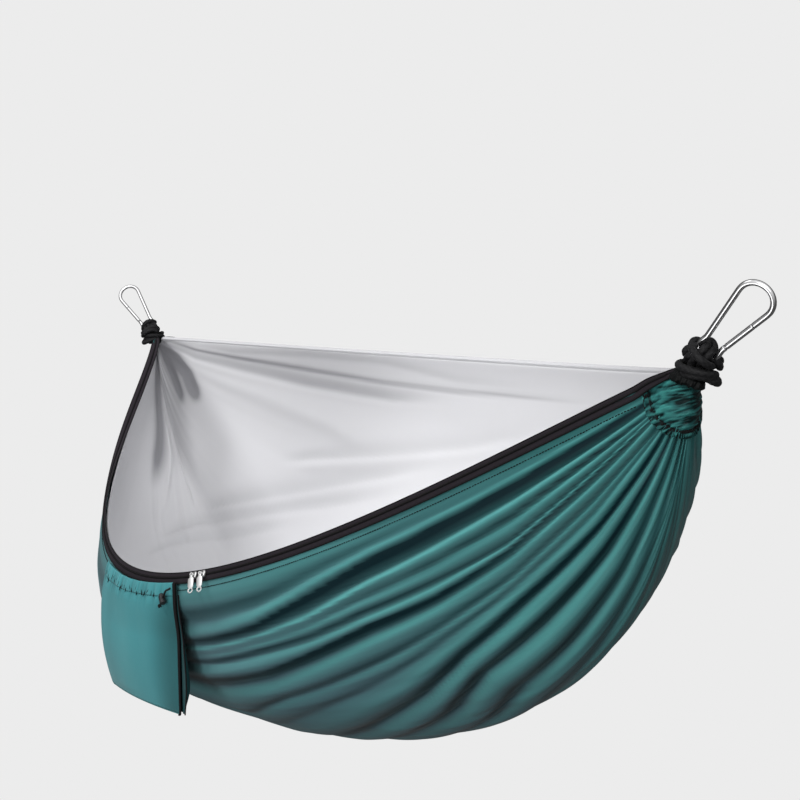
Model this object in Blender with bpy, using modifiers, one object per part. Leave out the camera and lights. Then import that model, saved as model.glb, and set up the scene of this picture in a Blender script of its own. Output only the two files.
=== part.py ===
"""Hammock tent: a camping hammock with a zipped insect net, hung by a snap hook at each end.

The bed panel is a deep gathered bowl of light nylon. Its far edge is pulled nearly straight, its near edge
sags and carries the zip. The net is slack and lies in the bed. A stuff sack hangs on the near edge.

Metres, +Z up, +X from the left hook to the right hook, -Y towards the zipped edge.
The origin is the crown of the left hook, on the axis of its rod, where the hanging strap bears.
"""

import math

import bmesh
import bpy
from mathutils import Matrix, Vector

# ---------------------------------------------------------------- driving dimensions
HALF_SPAN = 1.100            # half the distance between the two end knots

NEAR_OUT, NEAR_OUT_POW = 0.3189, 1.302      # zipped edge: how far out and down it bows
NEAR_SAG, NEAR_SAG_POW = 0.3233, 1.244
FAR_OUT, FAR_SAG = 0.2919, 0.0219           # sewn edge: bows out, hardly sags

BED_DEPTH, BED_DEPTH_POW = 0.5557, 0.532    # lowest line of the bed below the knots
BOTTOM_SHIFT, BOTTOM_SHIFT_POW, BOTTOM_MIX = -0.0122, 0.787, 0.546
NEAR_LEAN, NEAR_REACH, NEAR_ROUND = 0.317, 0.854, 0.501     # fullness of the near wall
FAR_LEAN, FAR_REACH, FAR_ROUND = 0.607, 0.448, 0.536        # fullness of the far wall
POCKET_DENT, DENT_AT, DENT_WIDTH = 0.032, 0.13, 0.17        # the wall is pressed in behind the sack

BED_THICK = 0.0030
NET_THICK = 0.0016
NET_CLEAR = 0.0135           # the slack net lies this far inside the bed's outer face
SLEEVE_THICK = 0.0030
SEAM_RADIUS = 0.0580         # end channel seam, measured from the knot
SLEEVE_TOP = 0.0255

TAPE_THICK = 0.0012
ROPE_R = 0.0036              # 7.2 mm hanging rope
WHIP_R = 0.0192              # centre line radius of the knot's turns
WHIP_TURNS, WHIP_PITCH = 2.0, 0.0077
KNOT_ASIDE, KNOT_DROP = 0.0122, -0.0100
BIGHT_HIGH, BIGHT_WIDE = 0.0115, 0.0089      # the bights, from the middle of the hook's small end
CROSS_WIDE, CROSS_DEEP = 0.0152, 0.0190      # the strand across the hook's eye: half its width, and its depth
CROSS_LIFT, CROSS_AT = 0.0070, -0.0005       # its front stands this much higher than its ends' level
CROSS_ARC = math.radians(65)

HOOK_ROD = 0.00325           # 6.5 mm rod
HOOK_LENGTH = 0.1140         # over all
HOOK_EYE_R = 0.0110          # centre line radius of the small end
HOOK_BOW_R = 0.0192          # centre line radius of the large end
HOOK_SET_OFF = 0.0200        # knot to the small end's outside
HINGE_AT = 0.0085            # hinge pin, measured along the gate from the neck bend
GATE_END = 0.0474

LEFT_AXIS = Vector((-0.5630, -0.3462, 0.7504)).normalized()
RIGHT_AXIS = Vector((0.7327, 0.2505, 0.6328)).normalized()
LEFT_FACE = Vector((0.8018, -0.4489, 0.3944))
RIGHT_FACE = Vector((0.5709, -0.7323, -0.3712))

STATIONS = 48                # segments along the rim
ROWS = 20                    # segments around the bed

KNOT = {"left": Vector((-HALF_SPAN, 0.0, 0.0)), "right": Vector((HALF_SPAN, 0.0, 0.0))}
ORIGIN = KNOT["left"] + LEFT_AXIS * (HOOK_SET_OFF + HOOK_LENGTH - HOOK_ROD)

Z = Vector((0.0, 0.0, 1.0))

# ---------------------------------------------------------------- clean start
for old in list(bpy.data.objects):
    bpy.data.objects.remove(old, do_unlink=True)


def new_collection(name):
    made = bpy.data.collections.new(name)
    bpy.context.scene.collection.children.link(made)
    return made


PARTS = new_collection("hammock_tent")
CUTTERS = new_collection("cutters")


# ---------------------------------------------------------------- materials
def material(name, color, rough, metal=0.0):
    made = bpy.data.materials.new(name)
    made.use_nodes = True
    shader = made.node_tree.nodes["Principled BSDF"]
    shader.inputs["Base Color"].default_value = (*color, 1.0)
    shader.inputs["Roughness"].default_value = rough
    shader.inputs["Metallic"].default_value = metal
    made.diffuse_color = (*color, 1.0)
    return made


LOOKS = {
    "teal_nylon": ((0.045, 0.165, 0.160), 0.42, 0.0),
    "sack_nylon": ((0.085, 0.290, 0.300), 0.45, 0.0),
    "net_mesh": ((0.680, 0.680, 0.700), 0.80, 0.0),
    "black_tape": ((0.020, 0.017, 0.019), 0.75, 0.0),
    "black_rope": ((0.016, 0.016, 0.018), 0.80, 0.0),
    "steel": ((0.780, 0.780, 0.790), 0.20, 1.0),
    "black_plastic": ((0.018, 0.018, 0.020), 0.45, 0.0),
}


def own_material(obj, look):
    color, rough, metal = LOOKS[look]
    obj.data.materials.clear()
    obj.data.materials.append(material(obj.name + "_" + look, color, rough, metal))


# ---------------------------------------------------------------- the bed's surface
def share(u, power):
    return max(0.0, 1.0 - u * u) ** power


def near_rim(u):
    return Vector((HALF_SPAN * u, -NEAR_OUT * share(u, NEAR_OUT_POW), -NEAR_SAG * share(u, NEAR_SAG_POW)))


def far_rim(u):
    return Vector((HALF_SPAN * u, FAR_OUT * share(u, 1.0), -FAR_SAG * share(u, 1.0)))


def smooth(low, high, x):
    t = min(1.0, max(0.0, (x - low) / (high - low)))
    return t * t * (3.0 - 2.0 * t)


def bezier(a, b, c, d, t):
    s = 1.0 - t
    return a * (s * s * s) + b * (3 * s * s * t) + c * (3 * s * t * t) + d * (t * t * t)


def bed_point(u, tau):
    """Outer face of the bed. u runs from knot to knot; tau from 0, near edge, by 1, lowest line, to 2, far edge."""
    n, m = near_rim(u), far_rim(u)
    low = Vector((HALF_SPAN * u,
                  BOTTOM_SHIFT * share(u, BOTTOM_SHIFT_POW) + BOTTOM_MIX * (n.y + m.y),
                  -BED_DEPTH * share(u, BED_DEPTH_POW)))
    if tau <= 1.0:
        down = Vector((0.0, -math.sin(NEAR_LEAN), -math.cos(NEAR_LEAN)))
        p = bezier(n, n + down * ((n.z - low.z) * NEAR_REACH),
                   low - Vector((0.0, (low.y - n.y) * NEAR_ROUND, 0.0)), low, tau)
        press = smooth(0.0, 0.2, tau) * (1.0 - smooth(0.55, 0.95, tau))
        p.y += POCKET_DENT * math.exp(-((u - DENT_AT) / DENT_WIDTH) ** 2) * press
        return p
    down = Vector((0.0, math.sin(FAR_LEAN), -math.cos(FAR_LEAN)))
    return bezier(low, low + Vector((0.0, (m.y - low.y) * FAR_ROUND, 0.0)),
                  m + down * ((m.z - low.z) * FAR_REACH), m, tau - 1.0)


def bed_normal(u, tau):
    """Unit normal of the bed's surface, pointing out of the bowl."""
    du, dt = 1e-4, 1e-3
    a, b = max(-0.99995, u - du), min(0.99995, u + du)
    c, d = max(0.0, tau - dt), min(2.0, tau + dt)
    along = bed_point(b, tau) - bed_point(a, tau)
    around = bed_point(u, d) - bed_point(u, c)
    return around.cross(along).normalized()


def bed_offset(u, tau, off):
    return bed_point(u, tau) + bed_normal(u, tau) * off


def station_at(tau, radius, side):
    """The u at which the surface line tau is this far from the knot on that side."""
    knot = KNOT[side]
    sign = 1.0 if side == "right" else -1.0
    low, high = 0.7, 0.99999
    for _ in range(60):
        mid = 0.5 * (low + high)
        if (bed_point(sign * mid, tau) - knot).length > radius:
            low = mid
        else:
            high = mid
    return sign * 0.5 * (low + high)


def row_at(v):
    """Even steps of v, 0 to 1, to tau, 0 to 2, closer together near both edges."""
    return v + 0.5 * (1.0 - math.cos(math.pi * v))


def between_seams(i_share, tau, radius):
    """i_share 0 to 1 from the left seam to the right one along the line tau."""
    a = math.asin(station_at(tau, radius, "left"))
    b = math.asin(station_at(tau, radius, "right"))
    return math.sin(a + (b - a) * i_share)


# ---------------------------------------------------------------- mesh helpers
def place(obj):
    """Puts an object made in the knots' frame into the part's frame."""
    obj.location = obj.location - ORIGIN
    return obj


def link(name, mesh, look, collection=PARTS):
    obj = bpy.data.objects.new(name, mesh)
    collection.objects.link(obj)
    if look:
        own_material(obj, look)
    return obj


def sheet(name, across, down, shape, thick, look, outward=None, offset=-1.0):
    """A grid laid on shape(s, t), both 0 to 1, and given a thickness behind its outer face."""
    bm = bmesh.new()
    bmesh.ops.create_grid(bm, x_segments=across, y_segments=down, size=1.0)
    for vert in bm.verts:
        vert.co = shape(0.5 + 0.5 * vert.co.x, 0.5 + 0.5 * vert.co.y)
    bm.normal_update()
    if outward is not None:
        bm.faces.ensure_lookup_table()
        probe = sum(f.normal.dot(outward(f.calc_center_median())) for f in bm.faces)
        if probe < 0:
            bmesh.ops.reverse_faces(bm, faces=bm.faces[:])
    mesh = bpy.data.meshes.new(name)
    bm.to_mesh(mesh)
    bm.free()
    mesh.shade_smooth()
    obj = place(link(name, mesh, look))
    skin = obj.modifiers.new("Thickness", "SOLIDIFY")
    skin.thickness = thick
    skin.offset = offset
    return obj


def tube(name, points, radius, look, cyclic=False, resolution=2, collection=PARTS):
    curve = bpy.data.curves.new(name, "CURVE")
    curve.dimensions = "3D"
    curve.bevel_depth = radius
    curve.bevel_resolution = resolution
    curve.use_fill_caps = True
    spline = curve.splines.new("POLY")
    spline.points.add(len(points) - 1)
    for point, co in zip(spline.points, points):
        point.co = (*co, 1.0)
    spline.use_cyclic_u = cyclic
    obj = bpy.data.objects.new(name, curve)
    collection.objects.link(obj)
    if look:
        own_material(obj, look)
    return place(obj)


def to_mesh(obj, look):
    """The evaluated curve as a mesh object of the same name, with its caps welded."""
    name = obj.name
    bpy.context.view_layer.update()
    graph = bpy.context.evaluated_depsgraph_get()
    mesh = bpy.data.meshes.new_from_object(obj.evaluated_get(graph))
    bm = bmesh.new()
    bm.from_mesh(mesh)
    bmesh.ops.remove_doubles(bm, verts=bm.verts[:], dist=0.00002)
    bmesh.ops.recalc_face_normals(bm, faces=bm.faces[:])
    bm.to_mesh(mesh)
    bm.free()
    where = obj.matrix_world.copy()
    collection = obj.users_collection[0]
    bpy.data.objects.remove(obj, do_unlink=True)
    made = bpy.data.objects.new(name, mesh)
    collection.objects.link(made)
    made.matrix_world = where
    if look:
        own_material(made, look)
    return made


def frame_matrix(origin, x_axis, y_axis):
    """A placement whose X and Y follow the two directions."""
    x = x_axis.normalized()
    y = (y_axis - x * y_axis.dot(x)).normalized()
    z = x.cross(y)
    return Matrix.Translation(origin) @ Matrix((x, y, z)).transposed().to_4x4()


def box(name, size, where, look=None, collection=PARTS, centre=(0.0, 0.0, 0.0)):
    bm = bmesh.new()
    bmesh.ops.create_cube(bm, size=1.0)
    bmesh.ops.scale(bm, vec=size, verts=bm.verts[:])
    bmesh.ops.translate(bm, vec=centre, verts=bm.verts[:])
    mesh = bpy.data.meshes.new(name)
    bm.to_mesh(mesh)
    bm.free()
    obj = link(name, mesh, look, collection)
    obj.matrix_world = where
    return place(obj)


def cylinder(name, radius, depth, where, look=None, collection=PARTS, sides=16, top=None):
    """Axis along the placement's Z, centred on it."""
    bm = bmesh.new()
    bmesh.ops.create_cone(bm, cap_ends=True, segments=sides, radius1=radius,
                          radius2=radius if top is None else top, depth=depth)
    mesh = bpy.data.meshes.new(name)
    bm.to_mesh(mesh)
    bm.free()
    mesh.shade_smooth()
    mesh.set_sharp_from_angle(angle=math.radians(40))
    obj = link(name, mesh, look, collection)
    obj.matrix_world = where
    return place(obj)


def cutter(obj):
    obj.hide_render = True
    obj.display_type = "WIRE"
    return obj


def boolean(obj, other, operation):
    mod = obj.modifiers.new(operation.title(), "BOOLEAN")
    mod.operation = operation
    mod.solver = "EXACT"
    mod.object = other
    return mod


def round_edges(obj, width, segments=2, angle=35):
    mod = obj.modifiers.new("Round", "BEVEL")
    mod.width = width
    mod.segments = segments
    mod.limit_method = "ANGLE"
    mod.angle_limit = math.radians(angle)
    return mod


# ---------------------------------------------------------------- bed, net and hems
def out_of_bowl(co):
    return Vector((0.0, co.y - 0.0, co.z + 0.28))


bed = sheet("bed_panel", STATIONS, ROWS,
            lambda s, t: bed_offset(between_seams(s, row_at(t), SEAM_RADIUS), row_at(t), -0.0010),
            BED_THICK, "teal_nylon", out_of_bowl)


def net_shape(s, t):
    tau = row_at(t)
    u = between_seams(s, tau, 0.085)
    edge = math.sin(math.pi * 0.5 * tau)
    room = smooth(0.0, 0.35, 1.0 - abs(u) ** 3)
    return bed_offset(u, tau, -(0.0056 + (NET_CLEAR - 0.0056) * edge * room))


net = sheet("insect_net", 36, 14, net_shape, NET_THICK, "net_mesh", out_of_bowl)


def rim_frame(u):
    """Point on the near edge, the direction down the wall and the one out of it."""
    du = 1e-4
    along = (near_rim(min(0.99999, u + du)) - near_rim(max(-0.99999, u - du))).normalized()
    down = Vector((0.0, -math.sin(NEAR_LEAN), -math.cos(NEAR_LEAN)))
    down = (down - along * down.dot(along)).normalized()
    out = down.cross(along).normalized()
    return near_rim(u), along, down, out


def rim_stations(reach):
    """The bed's own stations along the near edge, with two more towards each knot."""
    inner = [between_seams(i / STATIONS, 0.0, SEAM_RADIUS) for i in range(STATIONS + 1)]
    a, b = station_at(0.0, reach, "left"), station_at(0.0, reach, "right")
    return [a, 0.5 * (a + inner[0])] + inner + [0.5 * (b + inner[-1]), b]


RIM_U = rim_stations(0.030)


def rim_strip(name, v_top, v_low, off, thick, look):
    count = len(RIM_U) - 1

    def shape(s, t):
        p, _, down, out = rim_frame(RIM_U[int(round(s * count))])
        return p + down * (v_top + (v_low - v_top) * t) + out * (off + thick)

    return sheet(name, count, 1, shape, thick, look, lambda co: Vector((0.0, -1.0, 0.0)))


def rim_tube(name, v, off, radius, look):
    points = []
    for u in RIM_U:
        p, _, down, out = rim_frame(u)
        points.append(p + down * v + out * off)
    return tube(name, points, radius, look, resolution=1)


rim_strip("zip_tape_bed", 0.0022, 0.0072, 0.0003, TAPE_THICK, "black_tape")
rim_strip("zip_tape_net", -0.0068, -0.0022, 0.0003, TAPE_THICK, "black_tape")
rim_tube("zip_coil", 0.0, 0.0022, 0.0018, "black_tape")
rim_tube("net_edge_piping", -0.0081, 0.0010, 0.0010, "black_tape")


def far_hem_shape(s, t):
    u = between_seams(s, 2.0, SEAM_RADIUS)
    return bed_offset(u, 2.0 - 0.020 - 0.055 * t, 0.0014)


sheet("far_hem", STATIONS, 1, far_hem_shape, 0.0012, "teal_nylon", lambda co: Vector((0.0, 1.0, 0.0)))


# ---------------------------------------------------------------- gathered ends
def sleeve_shape(side):
    def shape(s, t):
        tau = row_at(t)
        a = math.asin(station_at(tau, SEAM_RADIUS - 0.0016, side))
        b = math.asin(station_at(tau, SLEEVE_TOP, side))
        return bed_offset(math.sin(a + (b - a) * s), tau, 0.0)
    return shape


def gathered_end(side):
    sign = 1.0 if side == "right" else -1.0
    knot = KNOT[side]
    sheet(side + "_end_sleeve", 4, 14, sleeve_shape(side), SLEEVE_THICK, "teal_nylon",
          lambda co: Vector((0.0, co.y - 0.004, (co.z + 0.03) * 0.3)))
    bm = bmesh.new()
    bmesh.ops.create_uvsphere(bm, u_segments=16, v_segments=10, radius=1.0)
    for vert in bm.verts:
        up = vert.co.z
        wide = 0.0130 - 0.0050 * smooth(-0.3, 0.8, up)
        vert.co = Vector((vert.co.x * wide + (0.0010 + 0.0020 * up) * sign, vert.co.y * 0.0074, up * 0.0078))
    mesh = bpy.data.meshes.new(side + "_end_collar")
    bm.to_mesh(mesh)
    bm.free()
    mesh.shade_smooth()
    collar = link(side + "_end_collar", mesh, "black_tape")
    collar.location = knot + Vector((0.0, 0.0, -0.0165))
    place(collar)


def side_axes(side):
    """Hook axis, face normal and the direction from the spine to the gate."""
    axis = RIGHT_AXIS if side == "right" else LEFT_AXIS
    face = RIGHT_FACE if side == "right" else LEFT_FACE
    face = (face - axis * face.dot(axis)).normalized()
    gate = face.cross(axis)
    if side == "right":
        gate = -gate
    return axis, face, gate


def rope_work(side):
    """The knot's turns around the gathered end, a strand across the hook's eye, and two bights through it."""
    axis, face, gate = side_axes(side)
    lean = (axis * 0.22 + Z * 0.86).normalized()
    centre = KNOT[side] + axis * KNOT_ASIDE + Z * KNOT_DROP
    a = (Vector((1.0, 0.0, 0.0)) - lean * lean.x).normalized()
    b = lean.cross(a)
    steps = int(WHIP_TURNS * 14)
    turns = []
    for i in range(steps + 1):
        angle = math.pi * (0.5 - 2.0 * WHIP_TURNS * i / steps)
        rise = (i / steps - 0.5) * WHIP_TURNS * WHIP_PITCH
        turns.append(centre + (a * math.cos(angle) + b * math.sin(angle)) * WHIP_R + lean * rise)
    tube(side + "_knot_turns", turns, ROPE_R, "black_rope")

    tip = KNOT[side] + axis * (HOOK_SET_OFF + HOOK_ROD)
    strand = []
    for i in range(11):
        angle = CROSS_ARC * (i / 5.0 - 1.0)
        c, d = math.cos(angle), math.sin(angle)
        strand.append(tip + gate * (CROSS_WIDE * d) + face * (CROSS_DEEP * c) + axis * (CROSS_LIFT * c + CROSS_AT))
    tube(side + "_cross_turn", strand, ROPE_R, "black_rope")

    face_low = (face - lean * face.dot(lean)).normalized()
    gate_low = (gate - lean * gate.dot(lean)).normalized()
    for tag, shift in (("a", 0.00385), ("b", -0.00385)):
        foot = centre + lean * 0.0060 + gate_low * (shift * 1.2)

        def leg(way):
            top = tip + gate * shift + face * (BIGHT_WIDE * way)
            low = foot + face_low * (0.0064 * way)
            return [bezier(low, low + lean * 0.005, top - axis * 0.005, top, t / 4) for t in range(5)]

        arc = [tip + gate * shift + axis * (math.sin(math.radians(d)) * BIGHT_HIGH)
               + face * (math.cos(math.radians(d)) * BIGHT_WIDE) for d in range(20, 180, 20)]
        tube(side + "_hang_loop_" + tag, leg(1.0) + arc + leg(-1.0)[::-1], ROPE_R, "black_rope")


# ---------------------------------------------------------------- snap hooks
def hook(side):
    axis, face, gate = side_axes(side)
    tip = KNOT[side] + axis * (HOOK_SET_OFF + HOOK_ROD)
    bow = HOOK_LENGTH - 2 * HOOK_ROD - HOOK_BOW_R          # centre of the large end, along the axis
    neck_a, neck_b = 0.0185, 0.0100                        # the bend between the eye and the straight side
    span = math.hypot(bow - neck_a, neck_b)
    slope = math.asin(HOOK_BOW_R / span) - math.atan2(neck_b, bow - neck_a)
    run_a, run_b = math.cos(slope), math.sin(slope)

    def at(a, b):
        return tip + axis * a + gate * b

    def gate_line(s, out=0.0):
        return at(neck_a + run_a * s - run_b * out, neck_b + run_b * s + run_a * out)

    frame_end = HINGE_AT - 0.0043
    flat = [(neck_a + run_a * frame_end, neck_b + run_b * frame_end), (neck_a + run_a * 0.0008, neck_b + run_b * 0.0008),
            (neck_a - 0.0020, neck_b + 0.0006), (0.0146, HOOK_EYE_R + 0.0001)]
    for d in range(0, 181, 15):
        flat.append((HOOK_EYE_R - HOOK_EYE_R * math.sin(math.radians(d)), HOOK_EYE_R * math.cos(math.radians(d))))
    flat += [(0.0146, -HOOK_EYE_R - 0.0001), (neck_a - 0.0020, -neck_b - 0.0006), (neck_a + run_a * 0.0008, -neck_b - run_b * 0.0008)]
    first = -90 - math.degrees(slope)
    last = 90 + math.degrees(slope)
    for i in range(19):
        d = math.radians(first + (last - first) * i / 18)
        flat.append((bow + HOOK_BOW_R * math.cos(d), HOOK_BOW_R * math.sin(d)))
    flat.append((neck_a + run_a * GATE_END, neck_b + run_b * GATE_END))
    points = [at(a, b) for a, b in flat]

    body = to_mesh(tube(side + "_hook_body", points, HOOK_ROD, None, resolution=3), "steel")
    body.data.shade_smooth()
    body.data.set_sharp_from_angle(angle=math.radians(50))

    run = (gate_line(1.0) - gate_line(0.0)).normalized()
    across = run.cross(face).normalized()

    def along_gate(s):
        return frame_matrix(gate_line(s), run, across)

    low_tongue = box(side + "_hinge_tongue", (0.0098, 0.0046, 0.0022), along_gate(HINGE_AT - 0.0023), None, CUTTERS)
    top_tongue = box(side + "_nose_tongue", (0.0075, 0.0046, 0.0022), along_gate(GATE_END - 0.0007), None, CUTTERS)
    round_edges(low_tongue, 0.0006, 1)
    pin_place = frame_matrix(gate_line(HINGE_AT), run, across)
    pin_hole = cylinder(side + "_pin_hole", 0.00107, 0.0200, pin_place, None, CUTTERS)
    for tool, how in ((low_tongue, "UNION"), (top_tongue, "UNION"), (pin_hole, "DIFFERENCE")):
        boolean(body, cutter(tool), how)

    length = (GATE_END - 0.0005) - (HINGE_AT - 0.0022)
    middle = 0.5 * ((GATE_END - 0.0005) + (HINGE_AT - 0.0022))
    lay = frame_matrix(gate_line(middle), face, across)    # Z of this placement runs along the gate
    if (lay.to_3x3() @ Z).dot(run) < 0:
        lay = frame_matrix(gate_line(middle), -face, across)
    lever = cylinder(side + "_hook_gate", HOOK_ROD, length, lay, "steel", sides=20)
    slot_low = box(side + "_slot_low", (0.0090, 0.0100, 0.0028), along_gate(HINGE_AT + 0.0005), None, CUTTERS)
    slot_top = box(side + "_slot_top", (0.0070, 0.0100, 0.0028), along_gate(GATE_END - 0.0019), None, CUTTERS)
    bore_place = frame_matrix(gate_line(HINGE_AT + 0.0100), face, across)
    bore = cylinder(side + "_spring_bore", 0.00170, 0.0120, bore_place, None, CUTTERS, sides=12)
    for tool in (slot_low, slot_top, bore, pin_hole):
        boolean(lever, cutter(tool), "DIFFERENCE")

    cylinder(side + "_hinge_pin", 0.00100, 0.0058, pin_place, "steel", sides=16)

    coil = []
    start, stop, turns = HINGE_AT + 0.0059, HINGE_AT + 0.0150, 5
    for i in range(turns * 8 + 1):
        angle = 2 * math.pi * i / 8
        s = start + (stop - start) * i / (turns * 8)
        coil.append(gate_line(s) + (face * math.cos(angle) + across * math.sin(angle)) * 0.00115)
    tube(side + "_gate_spring", coil, 0.0003, "steel", resolution=0)

    pivots = bpy.data.objects.new(side + "_hook_swing_axis", None)
    CUTTERS.objects.link(pivots)
    pivots.location = tip
    place(pivots)
    joint = bpy.data.objects.new(side + "_gate_axis", None)
    CUTTERS.objects.link(joint)
    joint.location = gate_line(HINGE_AT)
    place(joint)


for which in ("left", "right"):
    gathered_end(which)
    rope_work(which)
    hook(which)


# ---------------------------------------------------------------- zip sliders
SLIDER_X = {"left": 0.2727, "right": 0.2980}      # parked side by side next to the sack
SLIDER_LENGTH = 0.0115
CHANNEL_HALF, CHANNEL_TOP = 0.0025, 0.0048
PLATE_TOP = 0.0061
BAIL_RISE = 0.0029                               # bail centre line above the plate
PULL_WIDTH, PULL_LENGTH, PULL_THICK = 0.0076, 0.0275, 0.0012


def slider(side):
    p, along, down, out = rim_frame(SLIDER_X[side] / HALF_SPAN)
    where = frame_matrix(p, along, down)          # X along the rim, Y down the wall, Z
    if (where.to_3x3() @ Z).dot(out) < 0:         # Z must point out of the wall
        where = Matrix.Translation(p) @ Matrix((-along, down, out)).transposed().to_4x4()
    block = box(side + "_slider", (SLIDER_LENGTH, 0.0098, PLATE_TOP - 0.0019), where, "steel",
                centre=(0.0, 0.0, 0.5 * (PLATE_TOP + 0.0019)))
    bite = box(side + "_slider_channel", (0.030, 2 * CHANNEL_HALF, 0.010), where, None, CUTTERS,
               centre=(0.0, 0.0, CHANNEL_TOP - 0.005))
    round_edges(block, 0.0012, 2, 60)
    boolean(block, cutter(bite), "DIFFERENCE")
    arch = []
    for d in range(0, 181, 20):
        x = 0.0036 * math.cos(math.radians(d))
        z = PLATE_TOP - 0.0004 + (BAIL_RISE + 0.0004) * math.sin(math.radians(d)) ** 0.6
        arch.append(where @ Vector((x, 0.0, z)))
    bail = to_mesh(tube(side + "_slider_bail", arch, 0.0006, None, resolution=2, collection=CUTTERS), None)
    boolean(block, cutter(bail), "UNION")

    eye = where @ Vector((0.0, 0.0, PLATE_TOP + BAIL_RISE))
    hang = frame_matrix(eye, where.to_3x3() @ Vector((0, 1, 0)), where.to_3x3() @ Vector((0, 0, 1)))
    # X down the wall, Y out of it, Z along the rim
    tab = box(side + "_pull_tab", (PULL_LENGTH - 0.0062, PULL_WIDTH, PULL_THICK), hang, "steel",
              centre=(0.0062 + 0.5 * (PULL_LENGTH - 0.0062), 0.0, 0.0))
    ring = cylinder(side + "_pull_eye", 0.0023, PULL_THICK, hang, None, CUTTERS, sides=16)
    neck = box(side + "_pull_neck", (0.0068, 0.0026, PULL_THICK * 0.98), hang, None, CUTTERS, centre=(0.0040, 0.0, 0.0))
    hole = cylinder(side + "_pull_hole", 0.0013, 0.01, hang, None, CUTTERS, sides=16)
    window = cylinder(side + "_pull_window", 0.0020, 0.01, hang @ Matrix.Translation((PULL_LENGTH - 0.0042, 0, 0)),
                      None, CUTTERS, sides=16)
    boolean(tab, cutter(ring), "UNION")
    boolean(tab, cutter(neck), "UNION")
    boolean(tab, cutter(hole), "DIFFERENCE")
    boolean(tab, cutter(window), "DIFFERENCE")
    axis = bpy.data.objects.new(side + "_pull_axis", None)
    CUTTERS.objects.link(axis)
    axis.location = eye
    place(axis)


for which in ("left", "right"):
    slider(which)


# ---------------------------------------------------------------- stuff sack
SACK_LEFT, SACK_RIGHT = -0.128, 0.219
SACK_TOP_GAP = 0.0085        # below the near edge's line
SACK_FRONT_THICK = 0.0016
SACK_GAP = 0.0006
PIPING_R = 0.0019
SACK_DROP_LEFT, SACK_DROP_RIGHT = -0.508, -0.494


def sack_front(s, t):
    """Front of the sack: s left to right, t from the mouth to the bottom seam."""
    x = SACK_LEFT + (SACK_RIGHT - SACK_LEFT) * s
    rim = near_rim(x / HALF_SPAN)
    left_off = 0.0085 - 0.0050 * t + 0.058 * t * (1 - t)
    right_off = 0.0050 - 0.0030 * t
    belly = 0.0040 * math.sin(math.pi * s) * math.sin(math.pi * t)
    mouth = (0.0016 + 0.0030 * s + 0.0034 * math.sin(math.pi * s)) * (1.0 - smooth(0.14, 0.45, t))
    y = rim.y - (left_off * (1 - s) + right_off * s) - belly - mouth
    top = rim.z - SACK_TOP_GAP
    low = SACK_DROP_LEFT * (1 - s) + SACK_DROP_RIGHT * s
    return Vector((x, y, top + (low - top) * t))


def sack_depth(s, t):
    round_side = max(0.0, math.sin(math.pi * min(1.0, max(0.0, s)))) ** 0.5
    round_low = math.sqrt(max(0.0, 1.0 - max(0.0, (t - 0.55) / 0.45) ** 2))
    corner = smooth(0.30, 0.80, t) * (1.0 - smooth(0.80, 1.05, t)) * smooth(0.35, 0.95, s)
    slack = 0.0034 * round_side * (1.0 - smooth(0.14, 0.45, t))
    return (0.0016 + 0.0022 * smooth(0.0, 0.3, t) + 0.0110 * round_side * round_low * smooth(0.0, 0.42, t)
            + 0.0095 * corner + slack)


def sack_back(s, t):
    """Back of the sack; its right edge comes forward as the side gusset."""
    inner = min(1.0, s / 0.92)
    p = sack_front(inner, t)
    forward = smooth(0.90, 1.0, s)
    p.x += (0.0034 + 0.0040 * smooth(0.3, 0.8, t)) * math.sin(math.pi * min(1.0, 0.9 * forward)) ** 0.7 + 0.0014 * forward
    p.y += sack_depth(inner, t) * (1.0 - forward) + SACK_FRONT_THICK + SACK_GAP + 0.0011 * forward
    return p


sheet("sack_front", 12, 8, sack_front, SACK_FRONT_THICK, "sack_nylon", lambda co: Vector((0, -1, 0)))
sheet("sack_back", 16, 8, sack_back, SACK_FRONT_THICK, "sack_nylon", lambda co: Vector((0, -1, 0)))


def sack_edge(s, t):
    """Where front and back are sewn together."""
    p = sack_front(s, t)
    p.y += SACK_FRONT_THICK * 0.5
    return p


edge_points = [sack_edge(0.0, i / 8) + Vector((-PIPING_R - 0.0004, 0, 0)) for i in range(9)]
edge_points[-1] += Vector((0.0, 0.0, -PIPING_R - 0.0004))
edge_points += [sack_edge(i / 12, 1.0) + Vector((0, 0, -PIPING_R - 0.0004)) for i in range(1, 12)]
edge_points += [sack_edge(1.0, i / 8) + Vector((PIPING_R + 0.0004, 0, 0)) for i in range(8, -1, -1)]
edge_points[20] += Vector((0.0, 0.0, -PIPING_R - 0.0004))
tube("sack_piping", edge_points, PIPING_R, "black_tape")


def sack_hem_shape(s, t):
    p = sack_front(s, 0.0)
    q = sack_front(s, 0.075)
    p = p + (q - p) * t
    p.y -= 0.0003 + 0.0012
    return p


sheet("sack_mouth_hem", 12, 1, sack_hem_shape, 0.0012, "sack_nylon", lambda co: Vector((0, -1, 0)))

# drawcord: out of the mouth hem's right end and slantwise down over the front, through the lock
CORD_R = 0.0014
CORD_LENGTH = 0.0350
LOCK_R, LOCK_LENGTH = 0.0046, 0.0125
LOCK_AT = 0.0235
cord_way = Vector((-0.70, -0.075, -0.71)).normalized()
hem_end = sack_hem_shape(0.985, 0.42)
cord_start = hem_end + Vector((0.0, -CORD_R - 0.0005, 0.0))
lift = Vector((0.0, -0.0046, 0.0))
route = []
for i in range(20):
    t = i / 19
    route.append(cord_start + cord_way * (CORD_LENGTH * t) + lift * smooth(0.0, 0.26, t))
tube("sack_drawcord", route, CORD_R, "black_rope")
lock_centre = cord_start + cord_way * LOCK_AT + lift
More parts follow.
